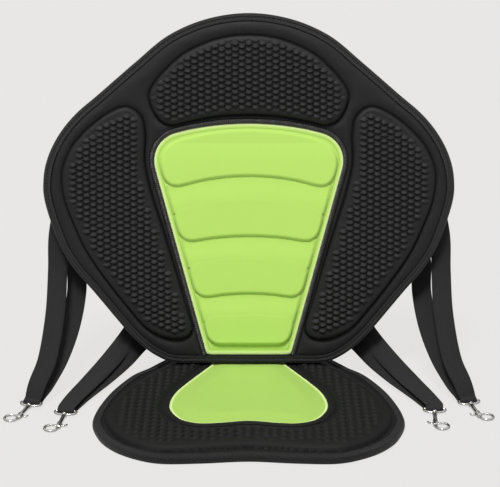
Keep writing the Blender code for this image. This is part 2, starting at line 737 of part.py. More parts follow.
def make_anchor(name, level, side, webbing, metal):
    anchors = ANCHORS[level]
    spot, way, _ = rear_place(side, anchors["patch"], anchors["patch_way"])
    frame = rear_frame(f"{name}_patch_frame", spot, way, -(2 * GAP + WEBBING_THICKNESS))
    low = (-PATCH_WIDTH / 2, -PATCH_LENGTH / 2, 0)
    high = (PATCH_WIDTH / 2, PATCH_LENGTH / 2, PATCH_THICKNESS)
    place(f"{name}_anchor_patch", block(f"{name}_anchor_patch", low, high), webbing, frame)

    offset = slider_offset()
    spot, way, _ = rear_place(side, anchors["slider"], anchors["slider_way"])
    depth = -(GAP + WEBBING_THICKNESS / 2 + offset)
    frame = rear_frame(f"{name}_slider_frame", spot, way, depth)
    inner = WEBBING_WIDTH / 2 + SLIDER_SIDE_PLAY
    half = inner + SLIDER_WALL
    pitch = SLIDER_BAR + SLIDER_SLOT
    edge = pitch + SLIDER_BAR / 2
    thick = SLIDER_BAR / 2
    body = block(f"{name}_slider", (-half, -edge, -thick), (half, edge, thick))
    slider = place(f"{name}_slider", body, metal, frame)
    for number, middle in enumerate((-pitch / 2, pitch / 2)):
        low = (-inner, middle - SLIDER_SLOT / 2, -2 * thick)
        high = (inner, middle + SLIDER_SLOT / 2, 2 * thick)
        join_or_cut(slider, block(f"{name}_slot_{number + 1}_cutter", low, high), "DIFFERENCE")

    bar = Vector((0, pitch, 0))
    loop = arc_round(bar, Vector((0, 0, -offset)), Vector((0, -offset, 0)), 6)
    end = bar + Vector((0, TAB_LENGTH, -offset))
    stitched = bar + Vector((0, TAB_LENGTH - TAB_SEWN, -offset))
    second_layer = Vector((0, 0, WEBBING_THICKNESS + GAP))
    course = [end] + loop + [stitched + second_layer, end + second_layer]
    across = Vector((1, 0, 0))
    tab = ribbon(f"{name}_slider_tab", [(point, across, WEBBING_WIDTH) for point in course])
    place(f"{name}_slider_tab", tab, webbing, frame)


# Snap hooks

def hook_matrix(name):
    """A hook's frame: origin on its eye bar, y along the shank to the ring, z up."""
    x, y, heading = HOOKS[name]
    side = 1 if x > 0 else -1
    turn = Matrix.Rotation(math.pi + side * math.radians(heading), 4, "Z")
    pitch = Matrix.Rotation(-HOOK_PITCH, 4, "X")
    return Matrix.Translation((x, y, EYE_HEIGHT)) @ turn @ pitch


def make_eye(name, frame, metal):
    half = EYE_INNER / 2 + EYE_WIRE
    shares = ((0.87, 0.0), (0.97, 0.06), (1.0, 0.22), (0.96, 0.48), (0.80, 0.74), (0.50, 0.93),
              (0.0, 1.0))
    right = [Vector((half * x, EYE_DEPTH * y, 0)) for x, y in shares]
    left = [Vector((-p.x, p.y, 0)) for p in reversed(right[:-1])]
    eye = place(f"{name}_swivel_eye",
                wire(f"{name}_swivel_eye", right + left, EYE_WIRE, WIRE_SIDES, True), metal, frame)
    far = COLLAR_NEAR + COLLAR_LENGTH
    collar = [(COLLAR_NEAR, COLLAR_RADIUS), (far, COLLAR_RADIUS)]
    join_or_cut(eye, turned(f"{name}_collar", collar), "UNION")
    hole = RIVET_RADIUS + GAP
    reach = [(COLLAR_NEAR - COLLAR_LENGTH, hole), (far + COLLAR_LENGTH, hole)]
    join_or_cut(eye, turned(f"{name}_collar_cutter", reach), "DIFFERENCE")


def ring_path(side):
    """The spine beside the gate and the ring, nearly all the way round, from the swivel."""
    path = [Vector((0, PIVOT_ALONG + SLOT_LENGTH / 2 + JOIN_DEPTH - COLLAR_NEAR, 0))]
    turn = math.pi - RING_END_ANGLE
    for step in range(RING_STEPS + 1):
        angle = math.pi - turn * step / RING_STEPS
        across = RING_RADIUS + RING_RADIUS * math.cos(angle)
        along = RING_ALONG - COLLAR_NEAR + RING_RADIUS * math.sin(angle)
        path.append(Vector((side * across, along, 0)))
    return path


def make_hook_body(name, side, frame, metal):
    """The hook's origin is in the collar, on the axis that it swivels about."""
    base = COLLAR_NEAR
    head = -GAP
    near = BARREL_NEAR - base
    far = BLOCK_NEAR - base
    profile = [
        (head - RIVET_HEAD_LENGTH, RIVET_HEAD_RADIUS), (head, RIVET_HEAD_RADIUS),
        (head, RIVET_RADIUS), (near, RIVET_RADIUS), (near, BARREL_RADIUS * 0.9),
        (near + BARREL_CHAMFER, BARREL_RADIUS), (far + JOIN_DEPTH, BARREL_RADIUS),
    ]
    origin = (0, base, 0)
    body = place(f"{name}_snap_hook", turned(f"{name}_snap_hook", profile), metal, frame, origin)
    low = (-BLOCK_HALF_WIDTH, far, -BLOCK_HALF_HEIGHT)
    high = (BLOCK_HALF_WIDTH, far + BLOCK_LENGTH, BLOCK_HALF_HEIGHT)
    join_or_cut(body, block(f"{name}_gate_block", low, high), "UNION")
    join_or_cut(body, wire(f"{name}_ring", ring_path(side), RING_WIRE, WIRE_SIDES), "UNION")
    pivot = PIVOT_ALONG - base
    low = (-2 * BLOCK_HALF_WIDTH, pivot - SLOT_LENGTH / 2, -SLOT_HEIGHT / 2)
    high = (2 * BLOCK_HALF_WIDTH, pivot + SLOT_LENGTH / 2, SLOT_HEIGHT / 2)
    join_or_cut(body, block(f"{name}_gate_slot_cutter", low, high), "DIFFERENCE")
    hole = [Vector((p.x, p.y + pivot)) for p in circle(GATE_PIN_RADIUS + PIN_CLEARANCE)]
    cutter = prism(f"{name}_pin_hole_cutter", hole, -2 * BLOCK_HALF_HEIGHT, 2 * BLOCK_HALF_HEIGHT)
    join_or_cut(body, cutter, "DIFFERENCE")


def circle(radius):
    angles = [math.tau * index / ROUND_SIDES for index in range(ROUND_SIDES)]
    return [Vector((radius * math.cos(a), radius * math.sin(a))) for a in angles]


def gate_outline(side):
    """Arm to the ring's open end, boss round the pin, and a thumb lever that bends back."""
    ring_end = RING_RADIUS + RING_RADIUS * math.cos(RING_END_ANGLE)
    arm = ring_end - RING_WIRE * math.sin(abs(RING_END_ANGLE + math.pi / 2)) - 2 * GAP
    half = GATE_ARM_HALF
    boss = GATE_BOSS
    thumb = THUMB_REACH
    points = (
        (arm, -half), (arm, half), (boss * 0.75, half * 1.1), (boss * 0.3, boss),
        (-boss * 0.4, boss), (-boss, half), (-thumb * 0.70, half * 0.6),
        (-thumb * 0.93, -half * 0.6), (-thumb, -half * 3.4), (-thumb * 0.85, -half * 3.7),
        (-thumb * 0.76, -half * 1.7), (-thumb * 0.58, -half), (-boss, -half),
        (-boss * 0.4, -boss), (boss * 0.3, -boss), (boss * 0.75, -half * 1.1),
    )
    return [Vector((side * x, y)) for x, y in points]


def make_gate(name, side, frame, metal, steel):
    pivot = (0, PIVOT_ALONG, 0)
    low = -SLOT_HEIGHT / 2 + GAP
    high = low + GATE_THICKNESS
    gate = place(f"{name}_gate", prism(f"{name}_gate", gate_outline(side), low, high), metal, frame,
                 pivot)
    hole = circle(GATE_PIN_RADIUS + PIN_CLEARANCE)
    cutter = prism(f"{name}_gate_hole_cutter", hole, low - GATE_THICKNESS, high + GATE_THICKNESS)
    join_or_cut(gate, cutter, "DIFFERENCE")
    pin = prism(f"{name}_gate_pin", circle(GATE_PIN_RADIUS), -BLOCK_HALF_HEIGHT, BLOCK_HALF_HEIGHT)
    place(f"{name}_gate_pin", pin, steel, frame, pivot)
    leg = SLOT_LENGTH / 2 - 2 * GAP
    height = (high + SLOT_HEIGHT / 2) / 2
    turn = arc_round(Vector((0, 0, height)), Vector((SPRING_RADIUS, 0, 0)),
                     Vector((0, -SPRING_RADIUS, 0)), 6)
    path = [Vector((SPRING_RADIUS, leg, height))] + turn + [Vector((-SPRING_RADIUS, leg, height))]
    spring = wire(f"{name}_gate_spring", path, SPRING_WIRE, 5)
    place(f"{name}_gate_spring", spring, steel, frame, pivot)


def make_strap_set(name, webbing, metal, steel):
    level = name.split("_")[0]
    side = 1 if HOOKS[name][0] > 0 else -1
    matrix = hook_matrix(name)
    stations = strap_stations(level, side, matrix)
    place(f"{name}_webbing", ribbon(f"{name}_webbing", stations), webbing)
    make_anchor(name, level, side, webbing, metal)
    frame = frame_empty(f"{name}_hook_frame", matrix)
    ring_side = -side
    make_eye(name, frame, metal)
    make_hook_body(name, ring_side, frame, metal)
    make_gate(name, ring_side, frame, metal, steel)


def main():
    clear_scene()
    black = make_material("black_fabric", (0.012, 0.012, 0.013), 0.75)
    green = make_material("lime_fabric", (0.51, 0.80, 0.16), 0.70)
    foam = make_material("grey_foam", (0.10, 0.10, 0.11), 0.90)
    plastic = make_material("stiffener_sheet", (0.05, 0.05, 0.055), 0.45)
    trim = make_material("black_trim", (0.016, 0.016, 0.018), 0.65)
    webbing = make_material("black_webbing", (0.018, 0.018, 0.019), 0.70)
    metal = make_material("nickel_plate", (0.72, 0.72, 0.74), 0.18, 1.0)
    steel = make_material("spring_steel", (0.45, 0.45, 0.47), 0.35, 1.0)
    make_backrest(black, green, foam, plastic, trim)
    make_seat(black, green, foam, trim)
    make_hinge_strip(trim)
    for name in HOOKS:
        make_strap_set(name, webbing, metal, steel)


main()
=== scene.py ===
"""Looks of the padded kayak seat: moulded cloth pads, piping, tape, webbing and snap hooks, built
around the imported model. Metres, +Z up, in the model's own frame."""
import math

import bmesh
import bpy
import numpy as np
from mathutils import Matrix, Vector


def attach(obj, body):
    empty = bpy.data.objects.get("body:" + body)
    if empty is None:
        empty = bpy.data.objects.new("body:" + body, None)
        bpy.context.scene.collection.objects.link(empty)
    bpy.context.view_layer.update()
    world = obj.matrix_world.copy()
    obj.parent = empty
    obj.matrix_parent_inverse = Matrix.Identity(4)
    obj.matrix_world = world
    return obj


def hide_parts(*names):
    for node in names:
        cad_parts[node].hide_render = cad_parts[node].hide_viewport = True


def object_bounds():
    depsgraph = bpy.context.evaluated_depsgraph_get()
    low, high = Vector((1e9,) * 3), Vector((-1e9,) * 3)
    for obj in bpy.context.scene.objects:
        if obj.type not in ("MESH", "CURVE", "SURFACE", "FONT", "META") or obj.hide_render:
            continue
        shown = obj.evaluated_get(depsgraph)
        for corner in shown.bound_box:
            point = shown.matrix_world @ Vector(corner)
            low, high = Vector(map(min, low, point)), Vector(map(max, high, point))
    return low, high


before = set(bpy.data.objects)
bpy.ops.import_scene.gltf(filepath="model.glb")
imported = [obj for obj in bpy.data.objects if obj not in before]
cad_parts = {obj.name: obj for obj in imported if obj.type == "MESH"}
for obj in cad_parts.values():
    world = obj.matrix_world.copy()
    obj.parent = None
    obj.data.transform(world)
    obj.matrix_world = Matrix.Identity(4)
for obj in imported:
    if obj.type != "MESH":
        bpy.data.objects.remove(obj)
CAD_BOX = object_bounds()
SEAT_BODY = "seat_and_straps"

# Sizes that the solids have
GAP = 0.0003
BACK_WIDTH = 0.525
BACK_HEIGHT = 0.4475
RECLINE = math.radians(14)
BACK_FACE = 0.003
BACK_REAR = -0.0123
PAD_RISE = 0.009
BOLSTER_RISE = 0.007
SEAT_WIDTH = 0.376
SEAT_LENGTH = 0.336
SEAT_BEHIND = 0.0655
SEAT_RIM_LOW = 0.006
SEAT_RIM = 0.009
SEAT_TOP = 0.0176
BINDING_WIDTH = 0.010
BINDING_THICKNESS = 0.0012
BACK_PIPING_WIDTH = 0.0065
BACK_PIPING_LAP = 0.002
SEAT_PIPING_WIDTH = 0.0085
SEAT_PIPING_LAP = 0.001
EDGE_INSET = BINDING_THICKNESS + GAP
BACK_FOOT = SEAT_TOP + GAP - BACK_REAR * math.sin(RECLINE)
BACK_MATRIX = Matrix.Translation((0, 0, BACK_FOOT)) @ Matrix.Rotation(math.pi / 2 - RECLINE, 4, "X")

INSERT_LOW = 0.0115
INSERT_HIGH = 0.309
INSERT_LOW_HALF = 0.0556
INSERT_HIGH_HALF = 0.137
INSERT_CROWN = 0.0225
INSERT_CORNER = 0.038
INSERT_LOW_CORNER = 0.004
BOLSTER_MARGIN = 0.008
BOLSTER_LOW_CORNER = 0.017
BOLSTER_HIGH_CORNER = 0.012
# Each bolster from the top: its lower edge's height and drop at the sides, then its upper edge's
BOLSTERS = (
    (0.2400, 0.0180, 0.3005, 0.0225),
    (0.1634, 0.0097, 0.2145, 0.0150),
    (0.0897, 0.0075, 0.1393, 0.0080),
    (0.0237, 0.0000, 0.0662, 0.0030),
)
BOLSTER_ROLL = 0.0044   # how far in from its edge a bolster is rounded
BOLSTER_GAP = 0.0034    # height of the cloth right under a bolster's lower edge
UPPER_EDGE_FADE = 0.14  # share of its rise that a bolster loses by its top edge
TOP_BOLSTER_FADE = 0.42     # share that the highest bolster loses beyond that

# Embossed scales: the staggered pattern's width and height, and how far each scale stands up
SCALE_ACROSS = 0.0172
SCALE_UP = 0.0077
SCALE_RISE = 0.0030
SCALE_REACH = 0.66      # half width of a scale, in columns
SCALE_HALF = 0.46       # half height of a scale, in rows
SCALE_LOW_EDGE = 0.30   # share of a scale's height that its steep lower edge takes
SCALE_FADE = 0.004      # width of the band beside a pad's edge where the scales grow
SEAT_SCALE_ACROSS = 0.0200
SEAT_SCALE_UP = 0.0112
SEAT_SCALE_RISE = 0.0032
SEAT_SCALE_BEND = 0.50  # how far the seat's rows fall away to each side
SEAT_SCALE_TURN = 0.03  # half width of the round middle of those rows

# Grid steps of the cloth skins
PANEL_STEP = 0.0020
PAD_STEP = 0.00098
INSERT_STEP = 0.00115
SEAT_STEP = 0.00125

# Soft shapes that only this script has
FLANGE_PUFF = 0.0024
FLANGE_PUFF_REACH = 0.0040
FLANGE_RIPPLE = 0.00022
PAD_ROLL = 0.0065
PAD_EDGE_SHARE = 0.86   # share of a pad's rise at the end of its rounded edge
PAD_BULGE = 0.0016
PAD_MARGINS = {"top": 0.0055, "right": 0.0085, "left": 0.0085}
INSERT_SEAM_RISE = 0.0014
SLOPE_START_SHARE = 0.84    # height of the slope above a bolster, as a share of the bolster's rise
SEAT_PAD_ROLL = 0.010
SEAT_EDGE_SHARE = 0.88
SEAT_CROWN = 0.0010
SEAT_MARGIN = 0.012
SEAT_GROOVE_OUT = 0.0105    # how far the pressed ring lies outside the green insert
SEAT_GROOVE_DEPTH = 0.0022
SEAT_INSERT_SUNK = 0.0012
SEAT_INSERT_CROWN = 0.0034
SEAT_INSERT_LIP = 0.0008
BRAID_HEIGHT = 0.0034
BRAID_LAY = 0.0028
BRAID_SWELL = 0.34
PIPING_STEP = 0.0004        # height of a piping's upright sides
SEAT_PIPING_HEIGHT = 0.0016
STITCH_INSET = 0.0054       # row of stitches that pulls the binding tape in
TAPE_GROOVE = 0.0010
TAPE_STITCH = 0.0042
PIPING_STITCH = 0.0036
PATCH_STITCH = 0.0034
STITCH_WIDTH = 0.0008
STITCH_HEIGHT = 0.0004

# Webbing and its hardware
WEBBING_WIDTH = 0.025
WEBBING_THICKNESS = 0.0016
WEBBING_AT_EYE = 0.0212
SEWN_LENGTH = 0.034
SLIDER_BAR = 0.003
SLIDER_SLOT = 0.0064
TWIST_DONE = 0.85
TAIL_LENGTH = 0.026
EYE_WIRE = 0.0015
EYE_INNER = 0.0236
EYE_DEPTH = 0.0092
COLLAR_RADIUS = 0.0038
COLLAR_LENGTH = 0.0044
RIVET_RADIUS = 0.0016
RIVET_HEAD_RADIUS = 0.0030
RIVET_HEAD_LENGTH = 0.0021
BARREL_RADIUS = 0.0028
BARREL_LENGTH = 0.0200
BLOCK_HALF_WIDTH = 0.0030
BLOCK_HALF_HEIGHT = 0.0025
BLOCK_LENGTH = 0.0128
SLOT_LENGTH = 0.0092
SLOT_HEIGHT = 0.0030
RING_WIRE = 0.0017
RING_RADIUS = 0.0080
RING_END_ANGLE = math.radians(-78)
GATE_THICKNESS = 0.0016
GATE_ARM_HALF = 0.0013
GATE_BOSS = 0.0025
THUMB_REACH = 0.0098
GATE_HOLE = 0.0010
HOOK_PITCH = math.radians(2.8)
EYE_HEIGHT = 0.0048
COLLAR_NEAR = EYE_DEPTH - COLLAR_LENGTH / 2
BARREL_NEAR = COLLAR_NEAR + COLLAR_LENGTH + GAP
BLOCK_NEAR = BARREL_NEAR + BARREL_LENGTH
PIVOT_ALONG = BLOCK_NEAR + BLOCK_LENGTH / 2
RING_ALONG = PIVOT_ALONG + RING_RADIUS

# Outlines, half of each: shares of the half width, and of the height or length
BACK_OUTLINE = (
    (0.000, 1.000), (0.206, 0.983), (0.392, 0.936), (0.552, 0.860), (0.728, 0.771), (0.838, 0.716),
    (0.918, 0.660), (0.975, 0.596), (1.000, 0.531), (0.992, 0.458), (0.922, 0.338), (0.850, 0.269),
    (0.750, 0.200), (0.602, 0.096), (0.526, 0.051), (0.446, 0.018), (0.362, 0.001), (0.210, 0.000),
    (0.000, 0.000),
)
TOP_PAD_OUTLINE = (
    (0.000, 0.938), (0.152, 0.927), (0.305, 0.889), (0.404, 0.840), (0.476, 0.786), (0.482, 0.746),
    (0.438, 0.698), (0.373, 0.681), (0.305, 0.689), (0.156, 0.706), (0.000, 0.711),
)
SIDE_PAD_OUTLINE = (
    (0.590, 0.736), (0.686, 0.716), (0.789, 0.669), (0.865, 0.616), (0.907, 0.551), (0.899, 0.476),
    (0.853, 0.400), (0.789, 0.320), (0.697, 0.240), (0.590, 0.160), (0.499, 0.100), (0.400, 0.071),
    (0.314, 0.071), (0.272, 0.100), (0.302, 0.167), (0.353, 0.267), (0.413, 0.382), (0.476, 0.500),
    (0.503, 0.584), (0.499, 0.651), (0.518, 0.707),
)
SEAT_OUTLINE = (
    (0.000, 0.000), (0.320, 0.003), (0.480, 0.018), (0.575, 0.065), (0.690, 0.158), (0.803, 0.241),
    (0.932, 0.423), (1.000, 0.634), (0.950, 0.770), (0.846, 0.866), (0.705, 0.932), (0.537, 0.969),
    (0.287, 0.966), (0.000, 0.951),
)
SEAT_PAD_OUTLINE = (
    (0.000, 0.048), (0.300, 0.051), (0.430, 0.075), (0.525, 0.130), (0.665, 0.245), (0.834, 0.423),
    (0.920, 0.619), (0.874, 0.750), (0.780, 0.842), (0.649, 0.900), (0.521, 0.921), (0.293, 0.910),
    (0.000, 0.888),
)
SEAT_INSERT_OUTLINE = (
    (0.000, 0.152), (0.225, 0.153), (0.262, 0.190), (0.300, 0.232), (0.394, 0.339), (0.479, 0.449),
    (0.516, 0.548), (0.505, 0.628), (0.436, 0.708), (0.319, 0.744), (0.186, 0.741), (0.000, 0.723),
)
ANCHORS = {
    "upper": {"patch": (0.868, 0.558), "patch_way": 78, "slider": (0.757, 0.415), "slider_way": 66},
    "lower": {"patch": (0.405, 0.222), "patch_way": 42, "slider": (0.378, 0.122), "slider_way": 38},
}
# Shares of the way from the backrest to the hook's eye, along each axis
LEGS = {
    "upper": {
        "top": ((0.38, 0.05, 0.28), (0.40, 0.17, 0.47), (0.40, 0.44, 0.65), (0.56, 0.73, 0.83),
                (0.84, 0.90, 0.93)),
        "bottom": ((0.26, -0.03, 0.21), (0.27, 0.08, 0.44), (0.36, 0.33, 0.63), (0.54, 0.59, 0.79),
                   (0.77, 0.80, 0.91), (0.93, 0.92, 0.97)),
    },
    "lower": {
        "top": ((0.17, -0.18, 0.34), (0.34, -0.06, 0.62), (0.55, 0.22, 0.80), (0.76, 0.51, 0.92),
                (0.92, 0.78, 0.97)),
        "bottom": ((0.22, -0.05, 0.34), (0.43, 0.14, 0.64), (0.66, 0.42, 0.84), (0.86, 0.71, 0.94)),
    },
}
# Each eye's place on the floor, and how many degrees its hook points outwards
HOOKS = {
    "upper_left": (-0.2685, -0.0900, 16),
    "upper_right": (0.2725, -0.0850, 12),
    "lower_left": (-0.2235, -0.1170, 7),
    "lower_right": (0.2280, -0.1100, -4),
}


# Curves and outlines

def smooth(points, steps, closed):
    """Catmull-Rom curve through the points."""
    points = np.asarray(points, float)
    count = len(points)
    share = np.arange(steps)[:, None] / steps
    runs = []
    for span in range(count if closed else count - 1):
        places = [span + shift for shift in (-1, 0, 1, 2)]
        if closed:
            places = [place % count for place in places]
        else:
            places = [min(max(place, 0), count - 1) for place in places]
        before, start, end, after = points[places]
        square = 2 * before - 5 * start + 4 * end - after
        cube = 3 * start - before - 3 * end + after
        runs.append((2 * start + (end - before) * share + square * share**2 + cube * share**3) / 2)
    if not closed:
        runs.append(points[-1:])
    return np.concatenate(runs)


def way_along(line):
    """The length of a line up to each of its points."""
    return np.concatenate([[0], np.cumsum(np.linalg.norm(np.diff(line, axis=0), axis=1))])


def rejoined(loop):
    return np.vstack([loop, loop[:1]])


def at_height(outline, height):
    return np.column_stack([outline, np.full(len(outline), height)])


def even(points, count, closed):
    """Points at equal steps along a line."""
    line = rejoined(points) if closed else np.asarray(points)
    along = way_along(line)
    targets = np.linspace(0, along[-1], count + 1)[:-1] if closed else np.linspace(0, along[-1], count)
    return np.stack([np.interp(targets, along, column) for column in line.T], 1)


def opened(loop):
    """A loop with a gap in it as an open line, from the gap's end to its start."""
    steps = np.linalg.norm(loop - np.roll(loop, 1, 0), axis=1)
    return np.roll(loop, -steps.argmax(), 0)


def symmetric(half, count):
    """A whole outline from its right half."""
    half = np.asarray(half)
    left = half[-2:0:-1] * (-1, 1)
    return even(smooth(np.vstack([half, left]), 8, True), count, True)


def back_shares(shares):
    return np.asarray(shares) * (BACK_WIDTH / 2, BACK_HEIGHT)


def seat_shares(shares):
    return np.asarray(shares) * (SEAT_WIDTH / 2, -SEAT_LENGTH) + (0, SEAT_BEHIND)


def side_normals(points, closed):
    """At each point, the unit normal on the right of the way."""
    if closed:
        way = np.roll(points, -1, 0) - np.roll(points, 1, 0)
    else:
        way = np.gradient(points, axis=0)
    way = way / np.linalg.norm(way, axis=1, keepdims=True)
    return np.stack([way[:, 1], -way[:, 0]], 1)


def turned_in(loop):
    """1 where the right of the way is inside a loop, and -1 where its left is."""
    after = np.roll(loop, -1, 0)
    return 1 if (loop[:, 0] * after[:, 1] - after[:, 0] * loop[:, 1]).sum() < 0 else -1


def inset(loop, reach):
    """A loop moved inwards, or outwards where reach is negative."""
    side = turned_in(loop)
    steps = 6
    for _ in range(steps):
        loop = loop + side_normals(loop, True) * side * reach / steps
    return loop


def softened(loop, count, passes):
    """The same outline in equal lengths, with its small corners eased."""
    loop = even(loop, count, True)
    for _ in range(passes):
        loop = (np.roll(loop, 1, 0) + 2 * loop + np.roll(loop, -1, 0)) / 4
    return loop


def insert_half_width(up):
    share = (up - INSERT_LOW) / (INSERT_HIGH - INSERT_LOW)
    return INSERT_LOW_HALF + (INSERT_HIGH_HALF - INSERT_LOW_HALF) * share


def rounded_corner(before, corner, after, radius):
    steps = 10
    before, corner, after = Vector(before), Vector(corner), Vector(after)
    to_before = (before - corner).normalized()
    to_after = (after - corner).normalized()
    half = to_before.angle(to_after) / 2
    reach = radius / math.tan(half)
    centre = corner + (to_before + to_after).normalized() * radius / math.sin(half)
    start = corner + to_before * reach - centre
    turn = start.angle_signed(corner + to_after * reach - centre)
    return [centre + Matrix.Rotation(-turn * step / steps, 2) @ start for step in range(steps + 1)]


def keystone(low, low_drop, high, high_drop, margin, low_radius, high_radius):
    """A tapered outline whose lower and upper edges are arcs."""
    edges = []
    for middle, drop in ((low, low_drop), (high, high_drop)):
        half = insert_half_width(middle - drop) - margin
        shares = [-1] + [step / 12 for step in range(-8, 9)] + [1]
        edges.append([(share * half, middle - drop * share * share) for share in shares])
    bottom, top = edges
    outline = rounded_corner(bottom[1], bottom[0], top[0], low_radius)
    outline += rounded_corner(bottom[0], top[0], top[1], high_radius)
    outline += [Vector(point) for point in top[2:-2]]
    outline += rounded_corner(top[-2], top[-1], bottom[-1], high_radius)
    outline += rounded_corner(top[-1], bottom[-1], bottom[-2], low_radius)
    outline += [Vector(point) for point in bottom[-3:1:-1]]
    return np.array([point[:] for point in outline])


# Distances and heights over a flat plane

def distance(points, outline):
    """How far each point is inside a closed outline, negative outside, and its nearest place."""
    start, end = outline, np.roll(outline, -1, 0)
    side = end - start
    result = np.empty(len(points))
    nearest = np.empty((len(points), 2))
    for first in range(0, len(points), 4000):
        point = points[first:first + 4000, None]
        share = ((point - start) * side).sum(2) / (side**2).sum(1)
        foot = start + np.clip(share, 0, 1)[..., None] * side
        away = np.linalg.norm(point - foot, axis=2)
        best = away.argmin(1)
        rows = np.arange(len(best))
        above = (start[:, 1] > point[..., 1]) != (end[:, 1] > point[..., 1])
        rise = np.where(side[:, 1] == 0, 1, side[:, 1])
        cross = start[:, 0] + (point[..., 1] - start[:, 1]) * side[:, 0] / rise
        inside = (above & (point[..., 0] < cross)).sum(1) % 2 == 1
        result[first:first + 4000] = np.where(inside, away[rows, best], -away[rows, best])
        nearest[first:first + 4000] = foot[rows, best]
    return result, nearest


def ease(value, low, high):
    share = np.clip((value - low) / (high - low), 0, 1)
    return share * share * (3 - 2 * share)


def rounded(inside, radius):
    """A quarter round that rises from 0 at an edge to 1."""
    share = np.clip(inside / radius, 0, 1)
    return np.sqrt(1 - (1 - share) ** 2)


def bent(x, bend):
    """How far a row lies behind its middle; the rows run straight where bend is 0."""
    return bend * (np.sqrt(x * x + SEAT_SCALE_TURN**2) - SEAT_SCALE_TURN)


def scales(points, outline, margin, size, bend=0.0):
    """Staggered scales, each one steep at its lower edge, wherever its middle is well inside."""
    wide, tall = size
    across = points[:, 0] / (wide / 2)
    up = (points[:, 1] + bent(points[:, 0], bend)) / tall
    lift = np.zeros(len(points))
    for shift in (-1, 0, 1):
        column = np.round(across) + shift
        offset = 0.5 * (column % 2)
        row = np.round(up - offset) + offset
        middle = column * wide / 2
        middles = np.stack([middle, row * tall - bent(middle, bend)], 1)
        unique, back = np.unique(middles.round(6), axis=0, return_inverse=True)
        weight = ease(distance(unique, outline)[0], margin, margin + SCALE_FADE)[back.ravel()]
        width = np.clip(1 - ((across - column) / SCALE_REACH) ** 2, 0, 1)
        half = SCALE_HALF * width + 1e-6
        share = np.clip((up - row + half) / (2 * half), 0, 1)
        fall = 1 - (np.clip(share - SCALE_LOW_EDGE, 0, 1) / (1 - SCALE_LOW_EDGE)) ** 2
        lift = np.maximum(lift, weight * width**0.7 * ease(share, 0, SCALE_LOW_EDGE) * fall)
    return lift


# Meshes

def add_object(name, data):
    item = bpy.data.objects.new(name, data)
    bpy.context.scene.collection.objects.link(item)
    return item


def new_piece(name, mesh, material, body=SEAT_BODY, matrix=None, replaces=()):
    piece = add_object(name, mesh)
    mesh.materials.append(material)
    if matrix is not None:
        piece.matrix_world = matrix
    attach(piece, body)
    if replaces:
        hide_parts(*replaces)
    return piece


def new_pad(name, mesh, material, node, matrix=None):
    """A padded piece that stands for one CAD node."""
    piece = new_piece(name, mesh, material, matrix=matrix, replaces=[node])


def outward(mesh):
    """Turns a closed mesh's faces outwards and shades it smooth."""
    shell = bmesh.new()
    shell.from_mesh(mesh)
    bmesh.ops.recalc_face_normals(shell, faces=shell.faces)
    if shell.calc_volume(signed=True) < 0:
        bmesh.ops.reverse_faces(shell, faces=shell.faces)
    shell.to_mesh(mesh)
    shell.free()
    mesh.shade_smooth()
    return mesh


def relief(name, outline, step, height, base, hole=None, marks=None):
    """A closed skin: a fine grid inside an outline, lifted by height(points), with walls to base.

    Its attribute "border" holds how far each point is inside the outline. Each of marks names one
    more attribute, or "border" itself, and the function of the points that fills it.
    """
    low = outline.min(0) - step
    count = np.ceil((outline.max(0) + step - low) / step).astype(int) + 1
    across, up = (low[axis] + step * np.arange(count[axis]) for axis in (0, 1))
    grid = np.stack(np.meshgrid(across, up), -1).reshape(-1, 2)
    inside, nearest = distance(grid, outline)
    if hole is not None:
        beyond, place = distance(grid, hole)
        closer = -beyond < inside
        inside = np.where(closer, -beyond, inside)
        nearest = np.where(closer[:, None], place, nearest)
    keep = (inside > 0.35 * step).reshape(count[1], count[0])
    rows, columns = np.nonzero(keep[:-1, :-1] & keep[1:, :-1] & keep[:-1, 1:] & keep[1:, 1:])
    corner = rows * count[0] + columns
    quads = np.stack([corner, corner + 1, corner + count[0] + 1, corner + count[0]], 1)
    used, quads = np.unique(quads, return_inverse=True)
    quads = quads.reshape(-1, 4)
    total = len(used)
    edges = np.stack([quads, np.roll(quads, -1, 1)], -1).reshape(-1, 2)
    rim = edges[~np.isin(edges[:, 0] * total + edges[:, 1], edges[:, 1] * total + edges[:, 0])]
    places = grid[used]
    on_rim = np.unique(rim)
    places[on_rim] = nearest[used][on_rim]
    points = np.column_stack([places, height(places)])
    foot = at_height(places[on_rim], base)
    below = np.zeros(total, int)
    below[on_rim] = total + np.arange(len(on_rim))
    walls = np.stack([rim[:, 1], rim[:, 0], below[rim[:, 0]], below[rim[:, 1]]], 1)
    mesh = bpy.data.meshes.new(name)
    mesh.from_pydata(np.vstack([points, foot]).tolist(), [], np.vstack([quads, walls]).tolist())
    marks = {"border": lambda spots: distance(spots, outline)[0], **(marks or {})}
    for mark, measure in marks.items():
        values = measure(places)
        layer = mesh.attributes.new(mark, "FLOAT", "POINT")
        layer.data.foreach_set("value", np.concatenate([values, values[on_rim]]).astype(np.float32))
    shell = bmesh.new()
    shell.from_mesh(mesh)
    open_edges = [edge for edge in shell.edges if edge.is_boundary]
    bmesh.ops.triangle_fill(shell, edges=open_edges, use_beauty=True)
    shell.to_mesh(mesh)
    shell.free()
    outward(mesh)
    mesh.set_sharp_from_angle(angle=math.radians(40))
    return mesh


